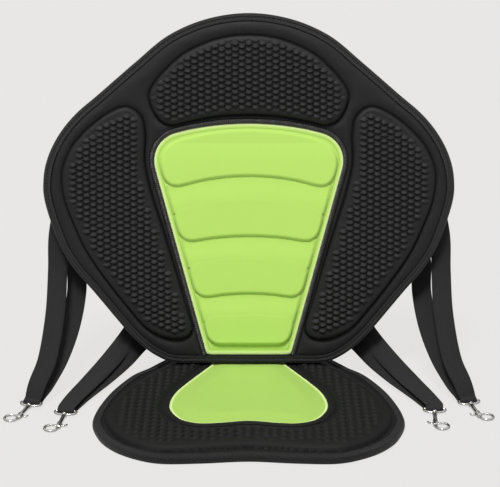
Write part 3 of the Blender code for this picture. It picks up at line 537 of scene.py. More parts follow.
def skin(name, rings, along_closed=False, sharp=50):
    """A skin over rings of points, with a UV map in metres: round the ring and along it."""
    rings = np.asarray(rings, float)
    count, around = rings.shape[:2]
    corner = np.arange(count * around).reshape(count, around)
    after = np.roll(corner, -1, 1)
    bands = count if along_closed else count - 1
    upper = np.roll(corner, -1, 0)[:bands]
    upper_after = np.roll(after, -1, 0)[:bands]
    quads = np.stack([corner[:bands], after[:bands], upper_after, upper], -1).reshape(-1, 4).tolist()
    faces = list(quads)
    if not along_closed:
        faces += [corner[0].tolist(), corner[-1][::-1].tolist()]
    mesh = bpy.data.meshes.new(name)
    mesh.from_pydata(rings.reshape(-1, 3).tolist(), [], faces)
    along = way_along(rejoined(rings.mean(1)))
    round_it = way_along(rejoined(rings[0]))
    uvs = np.zeros((len(mesh.loops), 2))
    band, index = np.divmod(np.arange(len(quads)), around)
    for number, (ahead, beyond) in enumerate(((0, 0), (1, 0), (1, 1), (0, 1))):
        place = np.column_stack([round_it[index + ahead], along[band + beyond]])
        uvs[number:4 * len(quads):4] = place
    mesh.uv_layers.new(name="cloth").data.foreach_set("uv", uvs.ravel())
    outward(mesh)
    mesh.set_sharp_from_angle(angle=math.radians(sharp))
    return mesh


def flat_sweep(name, path, section, closed):
    """A section of points to the right of a flat line and above it, swept along the line."""
    normals = side_normals(path, closed)
    section = np.asarray(section)
    flat = path[:, None] + normals[:, None] * section[None, :, :1]
    heights = np.broadcast_to(section[None, :, 1:], (*flat.shape[:2], 1))
    return skin(name, np.concatenate([flat, heights], 2), closed)


def cord(name, path, width, base, height):
    """A flat-bottomed cord whose strands wind round it, one each lay."""
    normals = side_normals(path, False)
    along = way_along(path)[:, None]
    angles = np.linspace(0, math.pi, 14)[None]
    strand = np.abs(np.cos(1.5 * angles - math.pi * along / BRAID_LAY))
    swell = 1 - BRAID_SWELL * (1 - strand)
    side = width / 2 * np.cos(angles) * swell
    top = base + PIPING_STEP + (height - PIPING_STEP) * np.sin(angles) * swell
    foot = np.full_like(along, width / 2)
    side = np.hstack([-foot, foot, side])
    top = np.hstack([np.full_like(foot, base), np.full_like(foot, base), top])
    flat = path[:, None] + normals[:, None] * side[..., None]
    return skin(name, np.concatenate([flat, top[..., None]], 2))


def wire(name, path, radius, sides=14, closed=False):
    """A round wire along a line in a flat plane at height 0."""
    normals = side_normals(path, closed)
    angles = np.arange(sides) * math.tau / sides
    radius = np.broadcast_to(np.asarray(radius, float), len(path))
    across = radius[:, None] * np.cos(angles)
    flat = path[:, None] + normals[:, None] * across[..., None]
    heights = (radius[:, None] * np.sin(angles))[..., None]
    return skin(name, np.concatenate([flat, heights], 2), closed)


def turned(name, profile):
    """A round solid along y, from pairs of place and radius."""
    sides = 32
    angles = np.arange(sides) * math.tau / sides
    rings = [[(r * math.cos(a), along, r * math.sin(a)) for a in angles] for along, r in profile]
    return skin(name, rings)


def stitches(name, path, pitch):
    """A row of thread stitches along a line of points in space."""
    count = max(2, int(way_along(path)[-1] / pitch))
    places = even(path, 2 * count + 1, False)
    points, faces = [], []
    sides = 6
    up = Vector((0, 0, 1))
    for number in range(count):
        start, end = Vector(places[2 * number]), Vector(places[2 * number + 1])
        way = (end - start).normalized()
        across = way.cross(up).normalized()
        length = (end - start).length
        first = len(points)
        for share, size in ((-0.25, 0.35), (0.05, 1.0), (0.95, 1.0), (1.25, 0.35)):
            for side in range(sides):
                angle = math.tau * side / sides
                offset = across * math.cos(angle) * STITCH_WIDTH / 2
                offset += up * math.sin(angle) * STITCH_HEIGHT
                points.append((start + way * length * share + offset * size)[:])
        for ring in range(3):
            for side in range(sides):
                after = (side + 1) % sides
                low, high = first + ring * sides, first + (ring + 1) * sides
                faces.append((low + side, low + after, high + after, high + side))
        faces.append(tuple(first + side for side in range(sides)))
        faces.append(tuple(first + 3 * sides + side for side in reversed(range(sides))))
    mesh = bpy.data.meshes.new(name)
    mesh.from_pydata(points, [], faces)
    return outward(mesh)


# Materials

def start_material(name, colour, roughness, metallic=0.0, specular=0.5):
    material = bpy.data.materials.new(name)
    material.use_nodes = True
    nodes, links = material.node_tree.nodes, material.node_tree.links
    shader = nodes["Principled BSDF"]
    shader.inputs["Base Color"].default_value = (*colour, 1)
    shader.inputs["Roughness"].default_value = roughness
    shader.inputs["Metallic"].default_value = metallic
    shader.inputs["Specular IOR Level"].default_value = specular
    return material, nodes, links, shader


def add_node(nodes, kind, **settings):
    node = nodes.new(kind)
    for key, value in settings.items():
        if key in node.inputs:
            node.inputs[key].default_value = value
        else:
            setattr(node, key, value)
    return node


def noise(nodes, links, vector, scale, detail=4.0):
    node = add_node(nodes, "ShaderNodeTexNoise", Scale=scale, Detail=detail)
    links.new(vector, node.inputs["Vector"])
    return node.outputs["Fac"]


def bands(nodes, links, vector, scale, direction):
    node = add_node(nodes, "ShaderNodeTexWave", Scale=scale, bands_direction=direction)
    links.new(vector, node.inputs["Vector"])
    return node.outputs["Fac"]


def maths(nodes, links, operation, first, second):
    node = add_node(nodes, "ShaderNodeMath", operation=operation)
    for place, value in enumerate((first, second)):
        if isinstance(value, (int, float)):
            node.inputs[place].default_value = value
        else:
            links.new(value, node.inputs[place])
    return node.outputs[0]


def vary(nodes, links, factor, low, high, socket):
    """A value or colour that runs from low to high with a factor; returns its output."""
    if isinstance(low, tuple):
        node = add_node(nodes, "ShaderNodeMix", data_type="RGBA")
        node.inputs[6].default_value, node.inputs[7].default_value = (*low, 1), (*high, 1)
        links.new(factor, node.inputs[0])
        result = node.outputs[2]
    else:
        node = add_node(nodes, "ShaderNodeMapRange")
        node.inputs["To Min"].default_value, node.inputs["To Max"].default_value = low, high
        links.new(factor, node.inputs["Value"])
        result = node.outputs["Result"]
    links.new(result, socket)
    return result


SHADE_REACH = 0.010     # shades lie within this distance of their line


def lay_shades(nodes, links, colour, mark, shades, socket):
    """Lays tints over a colour by the cloth's distance from a line: painted shade in creases, and at
    the green rims a paler edge with a painted highlight; returns their output.
    """
    away = add_node(nodes, "ShaderNodeAttribute", attribute_name=mark).outputs["Fac"]
    ramp = add_node(nodes, "ShaderNodeValToRGB")
    elements = ramp.color_ramp.elements
    for number, (place, tint, strength) in enumerate(shades):
        share = (place + SHADE_REACH) / (2 * SHADE_REACH)
        stop = elements[number] if number < 2 else elements.new(share)
        stop.position = share
        stop.color = (*tint, strength)
    share = maths(nodes, links, "MULTIPLY", maths(nodes, links, "ADD", away, SHADE_REACH),
                  0.5 / SHADE_REACH)
    links.new(share, ramp.inputs[0])
    mix = add_node(nodes, "ShaderNodeMix", data_type="RGBA")
    links.new(ramp.outputs["Alpha"], mix.inputs[0])
    links.new(colour, mix.inputs[6])
    links.new(ramp.outputs["Color"], mix.inputs[7])
    links.new(mix.outputs[2], socket)
    return mix.outputs[2]


def add_bump(nodes, links, shader, height, depth):
    node = add_node(nodes, "ShaderNodeBump", Distance=depth, Strength=1.0)
    links.new(height, node.inputs["Height"])
    links.new(node.outputs["Normal"], shader.inputs["Normal"])


def shaded(colour, share):
    return tuple(channel * share for channel in colour)


def cloth(name, colour, roughness, pitch, depth, sheen, spread=0.18, specular=0.13, lines=None):
    """Woven cloth: crossed threads, soft mottling, a little sheen, and tints along its lines that paint
    shade and highlight.
    """
    material, nodes, links, shader = start_material(name, colour, roughness, specular=specular)
    where = add_node(nodes, "ShaderNodeTexCoord").outputs["Object"]
    # Blender's wave texture repeats each pi / 10 of its scaled length
    scale = math.pi / (10 * pitch)
    threads = maths(nodes, links, "MULTIPLY", bands(nodes, links, where, scale, "X"),
                    bands(nodes, links, where, scale, "Y"))
    grain = noise(nodes, links, where, 900)
    mottle = noise(nodes, links, where, 45, 6.0)
    height = maths(nodes, links, "ADD", threads, maths(nodes, links, "MULTIPLY", grain, 0.6))
    add_bump(nodes, links, shader, height, depth)
    tone = maths(nodes, links, "ADD", maths(nodes, links, "MULTIPLY", mottle, 0.6),
                 maths(nodes, links, "MULTIPLY", threads, 0.4))
    base = shader.inputs["Base Color"]
    tinted = vary(nodes, links, tone, shaded(colour, 1 - spread), shaded(colour, 1 + spread), base)
    for mark, shades in (lines or {}).items():
        tinted = lay_shades(nodes, links, tinted, mark, shades, base)
    vary(nodes, links, mottle, roughness - 0.06, roughness + 0.06, shader.inputs["Roughness"])
    shader.inputs["Sheen Weight"].default_value = sheen
    shader.inputs["Sheen Roughness"].default_value = 0.5
    return material


def ribbed(name, colour, roughness, pitch, depth, specular=0.16, tones=(0.7, 1.35)):
    """Webbing, tape or cord: close cross ribs with a herringbone of fine threads."""
    material, nodes, links, shader = start_material(name, colour, roughness, specular=specular)
    where = add_node(nodes, "ShaderNodeTexCoord").outputs["UV"]
    ribs = bands(nodes, links, where, math.pi / (10 * pitch), "Y")
    threads = bands(nodes, links, where, math.pi / (10 * pitch * 0.8), "DIAGONAL")
    mottle = noise(nodes, links, where, 60, 5.0)
    height = maths(nodes, links, "ADD", ribs, maths(nodes, links, "MULTIPLY", threads, 0.5))
    add_bump(nodes, links, shader, height, depth)
    tone = maths(nodes, links, "ADD", maths(nodes, links, "MULTIPLY", ribs, 0.5),
                 maths(nodes, links, "MULTIPLY", mottle, 0.5))
    low, high = (shaded(colour, share) for share in tones)
    vary(nodes, links, tone, low, high, shader.inputs["Base Color"])
    vary(nodes, links, mottle, roughness - 0.08, roughness + 0.08, shader.inputs["Roughness"])
    shader.inputs["Sheen Weight"].default_value = 0.05
    return material


def plain_solid(name, colour, roughness, metallic, grain_scale, depth):
    """Foam, sheet, plate or wire, with a little grain."""
    material, nodes, links, shader = start_material(name, colour, roughness, metallic)
    where = add_node(nodes, "ShaderNodeTexCoord").outputs["Object"]
    grain = noise(nodes, links, where, grain_scale, 6.0)
    add_bump(nodes, links, shader, grain, depth)
    vary(nodes, links, grain, max(roughness - 0.07, 0.04), roughness + 0.07,
         shader.inputs["Roughness"])
    vary(nodes, links, grain, shaded(colour, 0.92), shaded(colour, 1.05),
         shader.inputs["Base Color"])
    return material


LIME = (0.51, 0.79, 0.155)
# A paler cloth edge with a painted highlight on it, for the green inserts' rims
PALE_EDGE_AND_HIGHLIGHT = (0.78, 0.93, 0.42)
# Painted shade colour: LIME darkened, for lines of the green cloth that lie in shade
SHADE_LIME = shaded(LIME, 0.42)
# Painted shade colour for the creases of the black cloth
SHADE_BLACK = (0.003, 0.003, 0.003)
# Each stop: distance from the line, colour, strength. The dark stops are painted shade; the pale ones
# are a paler cloth edge with a painted highlight.
# Painted shade: the black cloth is darkened within 2 mm of its border, in the creases round each pad
# and, on the flange, along the tape, the pads and the piping
CREASE_PAINTED_SHADE = ((0.0, SHADE_BLACK, 0.95), (0.0008, SHADE_BLACK, 0.85), (0.0019, SHADE_BLACK, 0.0))
# Within 5 mm of the insert's edge: a paler cloth edge with a painted highlight. At 7.1 mm in: painted
# shade at the foot of the bolsters' side walls
RIM_HIGHLIGHT_AND_SHADE = ((0.0020, PALE_EDGE_AND_HIGHLIGHT, 1.0), (0.0036, PALE_EDGE_AND_HIGHLIGHT, 0.85), (0.0048, PALE_EDGE_AND_HIGHLIGHT, 0.0),
              (0.0064, SHADE_LIME, 0.0), (0.0071, SHADE_LIME, 0.62), (0.0079, SHADE_LIME, 0.0))
# Painted shade: a thin dark line just under each bolster's lower edge, in its crease
SEAM_PAINTED_SHADE = ((-0.0007, SHADE_LIME, 0.0), (-0.0001, SHADE_LIME, 0.46), (0.0005, SHADE_LIME, 0.0))
# Within 5 mm of the seat insert's edge: a paler cloth edge with a painted highlight
SEAT_RIM_PALE_AND_HIGHLIGHT = ((0.0010, PALE_EDGE_AND_HIGHLIGHT, 1.0), (0.0034, PALE_EDGE_AND_HIGHLIGHT, 0.85), (0.0050, PALE_EDGE_AND_HIGHLIGHT, 0.0))

BLACK_CLOTH = cloth("black_cloth", (0.0158, 0.0158, 0.0163), 0.46, 0.0011, 0.00014, 0.01,
                    specular=0.17, lines={"border": CREASE_PAINTED_SHADE})
SEAT_CLOTH = cloth("seat_cloth", (0.0088, 0.0085, 0.0085), 0.58, 0.0011, 0.00014, 0.01)
REAR_CLOTH = cloth("rear_cloth", (0.018, 0.018, 0.019), 0.78, 0.0016, 0.00025, 0.05)
LIME_CLOTH = cloth("lime_cloth", LIME, 0.66, 0.0009, 0.00005, 0.08, 0.03,
                   lines={"border": RIM_HIGHLIGHT_AND_SHADE, "seam": SEAM_PAINTED_SHADE})
SEAT_LIME = cloth("seat_lime_cloth", (0.41, 0.63, 0.130), 0.66, 0.0009, 0.00005, 0.08, 0.03,
                  lines={"border": SEAT_RIM_PALE_AND_HIGHLIGHT})
TAPE = ribbed("binding_tape", (0.024, 0.024, 0.0245), 0.55, 0.0023, 0.00045)
SEAT_TAPE = ribbed("seat_binding_tape", (0.0130, 0.0130, 0.0135), 0.55, 0.0023, 0.00045)
# The braid's wide tones are painted shade in the grooves between its strands and painted highlight on
# their crowns
BRAID = ribbed("braided_piping", (0.030, 0.0295, 0.029), 0.40, 0.0024, 0.00020, specular=0.35,
               tones=(0.10, 2.1))
WEBBING = ribbed("woven_webbing", (0.0150, 0.0150, 0.0156), 0.60, 0.0014, 0.00030)
THREAD = plain_solid("black_thread", (0.022, 0.022, 0.024), 0.55, 0.0, 2500, 0.00005)
FOAM = plain_solid("closed_cell_foam", (0.06, 0.06, 0.065), 0.90, 0.0, 1200, 0.0002)
SHEET = plain_solid("stiffener_plastic", (0.04, 0.04, 0.045), 0.45, 0.0, 300, 0.00005)
NICKEL = plain_solid("bright_nickel", (0.54, 0.53, 0.51), 0.17, 1.0, 260, 0.00002)
STEEL = plain_solid("spring_wire", (0.46, 0.46, 0.47), 0.33, 1.0, 900, 0.00003)


# Backrest

def side_pad_outline(side):
    whole = smooth(back_shares(SIDE_PAD_OUTLINE), 8, True) * (side, 1)
    return even(whole, 180, True)


PADS = {
    "top": symmetric(back_shares(TOP_PAD_OUTLINE), 180),
    "right": side_pad_outline(1),
    "left": side_pad_outline(-1),
}
BACK_EDGE = symmetric(back_shares(BACK_OUTLINE), 420)
INSERT_EDGE = softened(keystone(INSERT_LOW, 0, INSERT_HIGH, INSERT_CROWN, 0, INSERT_LOW_CORNER,
                                INSERT_CORNER), 560, 10)
BOLSTER_EDGES = [
    softened(keystone(low, low_drop, high, high_drop, BOLSTER_MARGIN, BOLSTER_LOW_CORNER,
                      BOLSTER_HIGH_CORNER if number else INSERT_CORNER - BOLSTER_MARGIN), 300, 24)
    for number, (low, low_drop, high, high_drop) in enumerate(BOLSTERS)]


def flange_border(points):
    """How far the cloth is from the tape, the pads and the piping, whichever is nearest."""
    free = distance(points, BACK_EDGE)[0] - BINDING_WIDTH
    for pad in PADS.values():
        free = np.minimum(free, -distance(points, pad)[0])
    return np.minimum(free, BACK_PIPING_LAP - BACK_PIPING_WIDTH - distance(points, INSERT_EDGE)[0])


def flange_height(points):
    """Cloth that is pressed flat at the pads, the insert and the tape, and puffs up between."""
    free = np.maximum(flange_border(points), 0)
    puff = FLANGE_PUFF * (1 - np.exp(-free / FLANGE_PUFF_REACH))
    ripple = FLANGE_RIPPLE * np.sin(points[:, 0] * 130 + 3 * np.sin(points[:, 1] * 60))
    return puff + ripple * ease(free, 0.002, 0.010)


def pad_height(outline, margin):
    def height(points):
        inside = distance(points, outline)[0]
        crown = PAD_BULGE * ease(inside, 0.004, 0.040)
        texture = SCALE_RISE * scales(points, outline, margin, (SCALE_ACROSS, SCALE_UP))
        return PAD_RISE * PAD_EDGE_SHARE * rounded(inside, PAD_ROLL) + crown + texture
    return height


def bolster_seam(points):
    """How far each point is inside the nearest lower edge of a bolster, negative outside."""
    seam = np.full(len(points), 1.0)
    for (low, _, high, _), outline in zip(BOLSTERS, BOLSTER_EDGES):
        inside, nearest = distance(points, outline)
        inside = np.where(nearest[:, 1] < low + 0.4 * (high - low), inside, 1.0)
        seam = np.where(np.abs(inside) < np.abs(seam), inside, seam)
    return seam


def insert_height(points):
    """Four bolsters that overlap like shingles, each with a soft slope above it."""
    across, up = points[:, 0], points[:, 1]
    column = insert_half_width(up) - BOLSTER_MARGIN - np.abs(across)
    share = across / np.maximum(insert_half_width(up), 0.01)
    edge = distance(points, INSERT_EDGE)[0]
    lift = INSERT_SEAM_RISE * rounded(edge, 0.0020)
    for number, (low, low_drop, high, high_drop) in enumerate(BOLSTERS):
        inside = distance(points, BOLSTER_EDGES[number])[0]
        climb = np.clip((up - low + low_drop) / (high - low), 0, 1)
        fade = UPPER_EDGE_FADE * climb
        if number == 0:
            fade = fade + TOP_BOLSTER_FADE * climb**3
        lift = np.maximum(lift, BOLSTER_RISE * (1 - fade) * rounded(inside, BOLSTER_ROLL))
        if number == 0:
            continue
        next_low, next_drop = BOLSTERS[number - 1][:2]
        start = high - high_drop * share**2
        stop = next_low - next_drop * share**2
        slope = 1 - ease(up, start - 0.004, stop)
        near = (up > start - 0.010) & (up < stop + BOLSTER_ROLL)
        band = BOLSTER_GAP + (BOLSTER_RISE * SLOPE_START_SHARE - BOLSTER_GAP) * slope
        lift = np.where(near, np.maximum(lift, band * rounded(column, 0.0050)), lift)
    return lift


def back_piping_path():
    """Round the insert's sides and top, and down to the tape at both ends."""
    outline = inset(INSERT_EDGE, BACK_PIPING_LAP - BACK_PIPING_WIDTH / 2)
    path = outline[outline[:, 1] > INSERT_LOW + INSERT_LOW_CORNER * 1.25]
    slope = (INSERT_HIGH_HALF - INSERT_LOW_HALF) / (INSERT_HIGH - INSERT_LOW)
    lowest = BINDING_WIDTH + GAP + BACK_PIPING_WIDTH * slope / 2
    end = np.array([[path[0, 0] + (path[0, 1] - lowest) * slope, lowest]])
    return even(np.vstack([end, path, end * (-1, 1)]), 2200, False)


def piping_section(width, base, height):
    """A flat-bottomed half round."""
    top = [(width / 2 * math.cos(a), base + PIPING_STEP + (height - PIPING_STEP) * math.sin(a))
           for a in np.linspace(0, math.pi, 12)]
    return [(-width / 2, base), (width / 2, base)] + top


def tape_section(side, low, high):
    """Folded tape: two thin flanges, the upper one with a sewn groove, and a full round edge."""
    top = high + GAP + BINDING_THICKNESS
    bottom = low - GAP - BINDING_THICKNESS
    middle, half = (top + bottom) / 2, (top - bottom) / 2
    bulge = min(0.0040, half)
    sewn = top - TAPE_GROOVE
    points = [(BINDING_WIDTH, high + GAP), (BINDING_WIDTH, top - 0.0005), (BINDING_WIDTH - 0.0004, top),
              (STITCH_INSET + 0.0020, top), (STITCH_INSET + 0.0008, sewn + 0.0002),
              (STITCH_INSET + 0.0004, sewn), (STITCH_INSET - 0.0004, sewn),
              (STITCH_INSET - 0.0008, sewn + 0.0002)]
    for step in range(13):
        angle = math.pi / 2 + math.pi * step / 12
        points.append((bulge + bulge * math.cos(angle), middle + half * math.sin(angle)))
    points += [(BINDING_WIDTH, bottom), (BINDING_WIDTH, low - GAP), (BINDING_THICKNESS, low - GAP),
               (BINDING_THICKNESS, high + GAP)]
    return [(across * side, up) for across, up in points]


def dress_backrest():
    # The flange's border mark runs along the tape, the pads and the piping, and the black cloth lays
    # painted crease shade along it
    mesh = relief("back_panel_cloth", inset(BACK_EDGE, EDGE_INSET), PANEL_STEP, flange_height,
                  -BACK_FACE, inset(INSERT_EDGE, -GAP), {"border": flange_border})
    new_pad("back_panel_cloth", mesh, BLACK_CLOTH, "back_front_panel",
            BACK_MATRIX)
    for name, outline in PADS.items():
        height = pad_height(outline, PAD_MARGINS[name])
        mesh = relief(f"back_{name}_pad", outline, PAD_STEP, height, -0.0004)
        new_pad(f"back_{name}_pad", mesh, BLACK_CLOTH, "back_front_panel",
                BACK_MATRIX)
    # Its seam mark carries the painted shade under the bolsters' lower edges, and its border the
    # painted shade at the foot of their side walls
    mesh = relief("back_insert_cloth", INSERT_EDGE, INSERT_STEP, insert_height, -BACK_FACE,
                  marks={"seam": bolster_seam})
    new_pad("back_insert_cloth", mesh, LIME_CLOTH, "back_center_insert",
            BACK_MATRIX)
    mesh = cord("back_piping_braid", back_piping_path(), BACK_PIPING_WIDTH, GAP, BRAID_HEIGHT)
    new_piece("back_piping_braid", mesh, BRAID, matrix=BACK_MATRIX,
              replaces=["back_insert_piping"])
    mesh = flat_sweep("back_binding_tape", BACK_EDGE,
                      tape_section(turned_in(BACK_EDGE), BACK_REAR, 0), True)
    new_piece("back_binding_tape", mesh, TAPE, matrix=BACK_MATRIX,
              replaces=["back_edge_binding"])
    for name, height in (("front", GAP + BINDING_THICKNESS - TAPE_GROOVE),
                         ("rear", BACK_REAR - GAP - BINDING_THICKNESS)):
        row = rejoined(at_height(inset(BACK_EDGE, STITCH_INSET), height))
        mesh = stitches(f"back_{name}_stitches", row, TAPE_STITCH)
        new_piece(f"back_{name}_stitches", mesh, THREAD, matrix=BACK_MATRIX)
    beside = inset(INSERT_EDGE, BACK_PIPING_LAP - BACK_PIPING_WIDTH - 0.0016)
    beside = opened(beside[beside[:, 1] > 0.016])
    row = np.column_stack([beside, flange_height(beside) + 0.0001])
    mesh = stitches("back_piping_stitches", row, PIPING_STITCH)
    new_piece("back_piping_stitches", mesh, THREAD, matrix=BACK_MATRIX)


# Seat pad

SEAT_EDGE = symmetric(seat_shares(SEAT_OUTLINE), 360)
SEAT_PAD = symmetric(seat_shares(SEAT_PAD_OUTLINE), 300)
SEAT_INSERT = symmetric(seat_shares(SEAT_INSERT_OUTLINE), 200)


def seat_height(points):
    """A raised area with scales, and a ring pressed in round the green insert."""
    raised = distance(points, SEAT_PAD)[0]
    from_insert = -distance(points, SEAT_INSERT)[0]
    lift = SEAT_RIM + (SEAT_TOP - SEAT_RIM) * SEAT_EDGE_SHARE * rounded(raised, SEAT_PAD_ROLL)
    lift += SEAT_CROWN * ease(raised, 0.006, 0.030)
    lift -= SEAT_GROOVE_DEPTH * np.exp(-((from_insert - SEAT_GROOVE_OUT) / 0.0014) ** 2)
    size = (SEAT_SCALE_ACROSS, SEAT_SCALE_UP)
    texture = scales(points, SEAT_PAD, SEAT_MARGIN, size, SEAT_SCALE_BEND)
    clear = ease(from_insert, SEAT_GROOVE_OUT + 0.002, SEAT_GROOVE_OUT + 0.006)
    return lift + SEAT_SCALE_RISE * texture * clear


def seat_insert_height(points):
    inside = distance(points, SEAT_INSERT)[0]
    lip = SEAT_INSERT_LIP * np.exp(-((inside - 0.0018) / 0.0012) ** 2)
    crown = SEAT_INSERT_CROWN * ease(inside, 0.003, 0.030)
    return SEAT_TOP - SEAT_INSERT_SUNK * (1 - rounded(inside, 0.002)) + lip + crown


def seat_piping_path():
    """The insert's edge in front of the backrest, as one open line."""
    outline = inset(SEAT_INSERT, SEAT_PIPING_LAP - SEAT_PIPING_WIDTH / 2)
    return even(opened(outline[outline[:, 1] < -(EDGE_INSET + 0.001)]), 240, False)


def dress_seat():
    mesh = relief("seat_panel_cloth", inset(SEAT_EDGE, EDGE_INSET), SEAT_STEP, seat_height,
                  SEAT_RIM_LOW, inset(SEAT_INSERT, -GAP))
    new_pad("seat_panel_cloth", mesh, SEAT_CLOTH, "seat_top_panel")
    mesh = relief("seat_insert_cloth", SEAT_INSERT, INSERT_STEP, seat_insert_height, SEAT_RIM_LOW)
    new_pad("seat_insert_cloth", mesh, SEAT_LIME, "seat_center_insert")
    section = piping_section(SEAT_PIPING_WIDTH, SEAT_TOP + GAP, SEAT_PIPING_HEIGHT)
    mesh = flat_sweep("seat_piping_band", seat_piping_path(), section, False)
    new_piece("seat_piping_band", mesh, SEAT_CLOTH, replaces=["seat_insert_piping"])
    mesh = flat_sweep("seat_binding_tape", SEAT_EDGE,
                      tape_section(turned_in(SEAT_EDGE), EDGE_INSET, SEAT_RIM), True)
    new_piece("seat_binding_tape", mesh, SEAT_TAPE, replaces=["seat_edge_binding"])
    height = SEAT_RIM + GAP + BINDING_THICKNESS - TAPE_GROOVE
    row = rejoined(at_height(inset(SEAT_EDGE, STITCH_INSET), height))
    mesh = stitches("seat_stitches", row, TAPE_STITCH)
    new_piece("seat_stitches", mesh, THREAD)


# Straps

def arc_round(centre, start, through, steps):
    """Half a turn round a centre, from start by way of through."""
    angles = [math.pi * step / steps for step in range(steps + 1)]
    return [centre + start * math.cos(angle) + through * math.sin(angle) for angle in angles]


def leg_points(start, end, shares):
    """Points between two ends, each from its shares of the way along x, y and z."""
    way = end - start
    return [start + Vector([way[axis] * share[axis] for axis in range(3)]) for share in shares]


def rear_place(side, shares, degrees):
    """A spot on the backrest's rear, the webbing's way there and its width direction."""
    angle = math.radians(degrees)
    spot = Vector((side * shares[0] * BACK_WIDTH / 2, shares[1] * BACK_HEIGHT, BACK_REAR))
    way = Vector((side * math.cos(angle), -math.sin(angle), 0))
    across = Vector((side * math.sin(angle), math.cos(angle), 0)) * side
    return spot, way, across


def hook_matrix(name):
    """A hook's frame: its eye at the origin and the hook along y."""
    x, y, heading = HOOKS[name]
    side = 1 if x > 0 else -1
    turn = Matrix.Rotation(math.pi + side * math.radians(heading), 4, "Z")
    return Matrix.Translation((x, y, EYE_HEIGHT)) @ turn @ Matrix.Rotation(-HOOK_PITCH, 4, "X")


def strap_stations(level, side, hook):
    """The webbing's whole course: each station a point, its width direction and its width."""
    anchors = ANCHORS[level]
    layer = -(GAP + WEBBING_THICKNESS / 2)
    out = Vector((0, 0, 1))
    lean = BACK_MATRIX.to_3x3()
    spot, way, across = rear_place(side, anchors["patch"], anchors["patch_way"])
    sewn = [spot + way * reach + out * layer for reach in (-SEWN_LENGTH / 2, 0, SEWN_LENGTH / 2)]
    start = [BACK_MATRIX @ point for point in sewn]
    start_across = lean @ across

    wrap = EYE_WIRE + GAP + WEBBING_THICKNESS / 2
    turn = hook.to_3x3()
    eye = hook.translation
    bend = arc_round(eye, turn @ Vector((0, 0, wrap)), turn @ Vector((0, wrap, 0)), 16)
    eye_across = turn @ Vector((-1, 0, 0))
    above = turn @ Vector((0, -2 * wrap, EYE_WIRE))
    below = turn @ Vector((0, -2 * wrap, 0))

    offset = math.hypot(SLIDER_BAR, SLIDER_BAR) / 2 + GAP + WEBBING_THICKNESS / 2
    spot, way, across = rear_place(side, anchors["slider"], anchors["slider_way"])
    bar = spot + out * (layer - offset)
    rear = out * -offset
    low_bar = SLIDER_BAR + SLIDER_SLOT
    leave = [BACK_MATRIX @ (bar + rear + way * reach) for reach in (2 * low_bar, low_bar, 0)]
    top = arc_round(BACK_MATRIX @ bar, lean @ rear, lean @ (way * -offset), 12)
    tail = [BACK_MATRIX @ (bar - rear + way * reach) for reach in (TAIL_LENGTH / 2, TAIL_LENGTH)]
    end_across = lean @ across

    legs = LEGS[level]
    first = leg_points(start[-1], bend[0], legs["top"])
    second = leg_points(leave[0], bend[-1], legs["bottom"])[::-1]
    down = np.vstack([smooth([start[-1]] + first + [bend[0] + above], 10, False), bend[0]])
    climb = np.vstack([bend[-1], smooth([bend[-1] + below] + second + [leave[0]], 10, False)])

    stations = [(point, start_across, WEBBING_WIDTH) for point in start[:-1]]
    last = len(down) - 1
    for index, point in enumerate(down):
        share = index / last
        width = WEBBING_WIDTH + (WEBBING_AT_EYE - WEBBING_WIDTH) * max(0, share * 4 - 3)
        way_across = start_across.lerp(eye_across, ease(share, 0, TWIST_DONE))
        stations.append((Vector(point), way_across, width))
    stations += [(point, eye_across, WEBBING_AT_EYE) for point in bend[1:-1]]
    last = len(climb) - 1
    for index, point in enumerate(climb):
        share = index / last
        width = WEBBING_AT_EYE + (WEBBING_WIDTH - WEBBING_AT_EYE) * min(1, share * 4)
        way_across = end_across.lerp(eye_across, ease(1 - share, 0, TWIST_DONE))
        stations.append((Vector(point), way_across, width))
    stations += [(point, end_across, WEBBING_WIDTH) for point in leave[1:] + top[1:] + tail]
    return stations


def webbing_mesh(name, stations):
    """Webbing with thin rounded selvedges."""
    half = WEBBING_THICKNESS / 2
    section = [(-1, -0.35), (-0.94, -1), (-0.4, -1), (0.4, -1), (0.94, -1), (1, -0.35), (1, 0.35),
               (0.94, 1), (0.4, 1), (-0.4, 1), (-0.94, 1), (-1, 0.35)]
    rings = []
    length = 0
    last = len(stations) - 1
    for index, (point, width_way, width) in enumerate(stations):
        before, after = stations[max(index - 1, 0)][0], stations[min(index + 1, last)][0]
        way = (after - before).normalized()
        across = (width_way - way * width_way.dot(way)).normalized()
        up = way.cross(across).normalized()
        rings.append([(point + across * x * width / 2 + up * z * half)[:] for x, z in section])
        length += (point - stations[max(index - 1, 0)][0]).length
    return skin(name, rings, sharp=60), length


def box_stitches(name, spot, way, across, length, width, height):
    """A sewn box with a cross in it, on the backrest's rear."""
    corners = [spot + way * a * length / 2 + across * b * width / 2
               for a, b in ((-1, -1), (1, -1), (1, 1), (-1, 1))]
    route = corners + [corners[0], corners[2], corners[3], corners[1]]
    line = [(*point.xy, height) for point in route]
    rows = [even(np.array([a, b]), 12, False) for a, b in zip(line, line[1:])]
    return stitches(name, np.vstack(rows), PATCH_STITCH)


def dress_strap(name):
    level = name.split("_")[0]
    side = 1 if HOOKS[name][0] > 0 else -1
    mesh, length = webbing_mesh(f"{name}_strap", strap_stations(level, side, hook_matrix(name)))
    piece = new_piece(f"{name}_strap", mesh, WEBBING, replaces=[f"{name}_webbing"])
    spot, way, across = rear_place(side, ANCHORS[level]["patch"], ANCHORS[level]["patch_way"])
    height = BACK_REAR - 2 * GAP - WEBBING_THICKNESS - 0.0012
    mesh = box_stitches(f"{name}_patch_stitches", spot, way, across, 0.022, 0.024, height)
    new_piece(f"{name}_patch_stitches", mesh, THREAD, matrix=BACK_MATRIX)


# Snap hooks

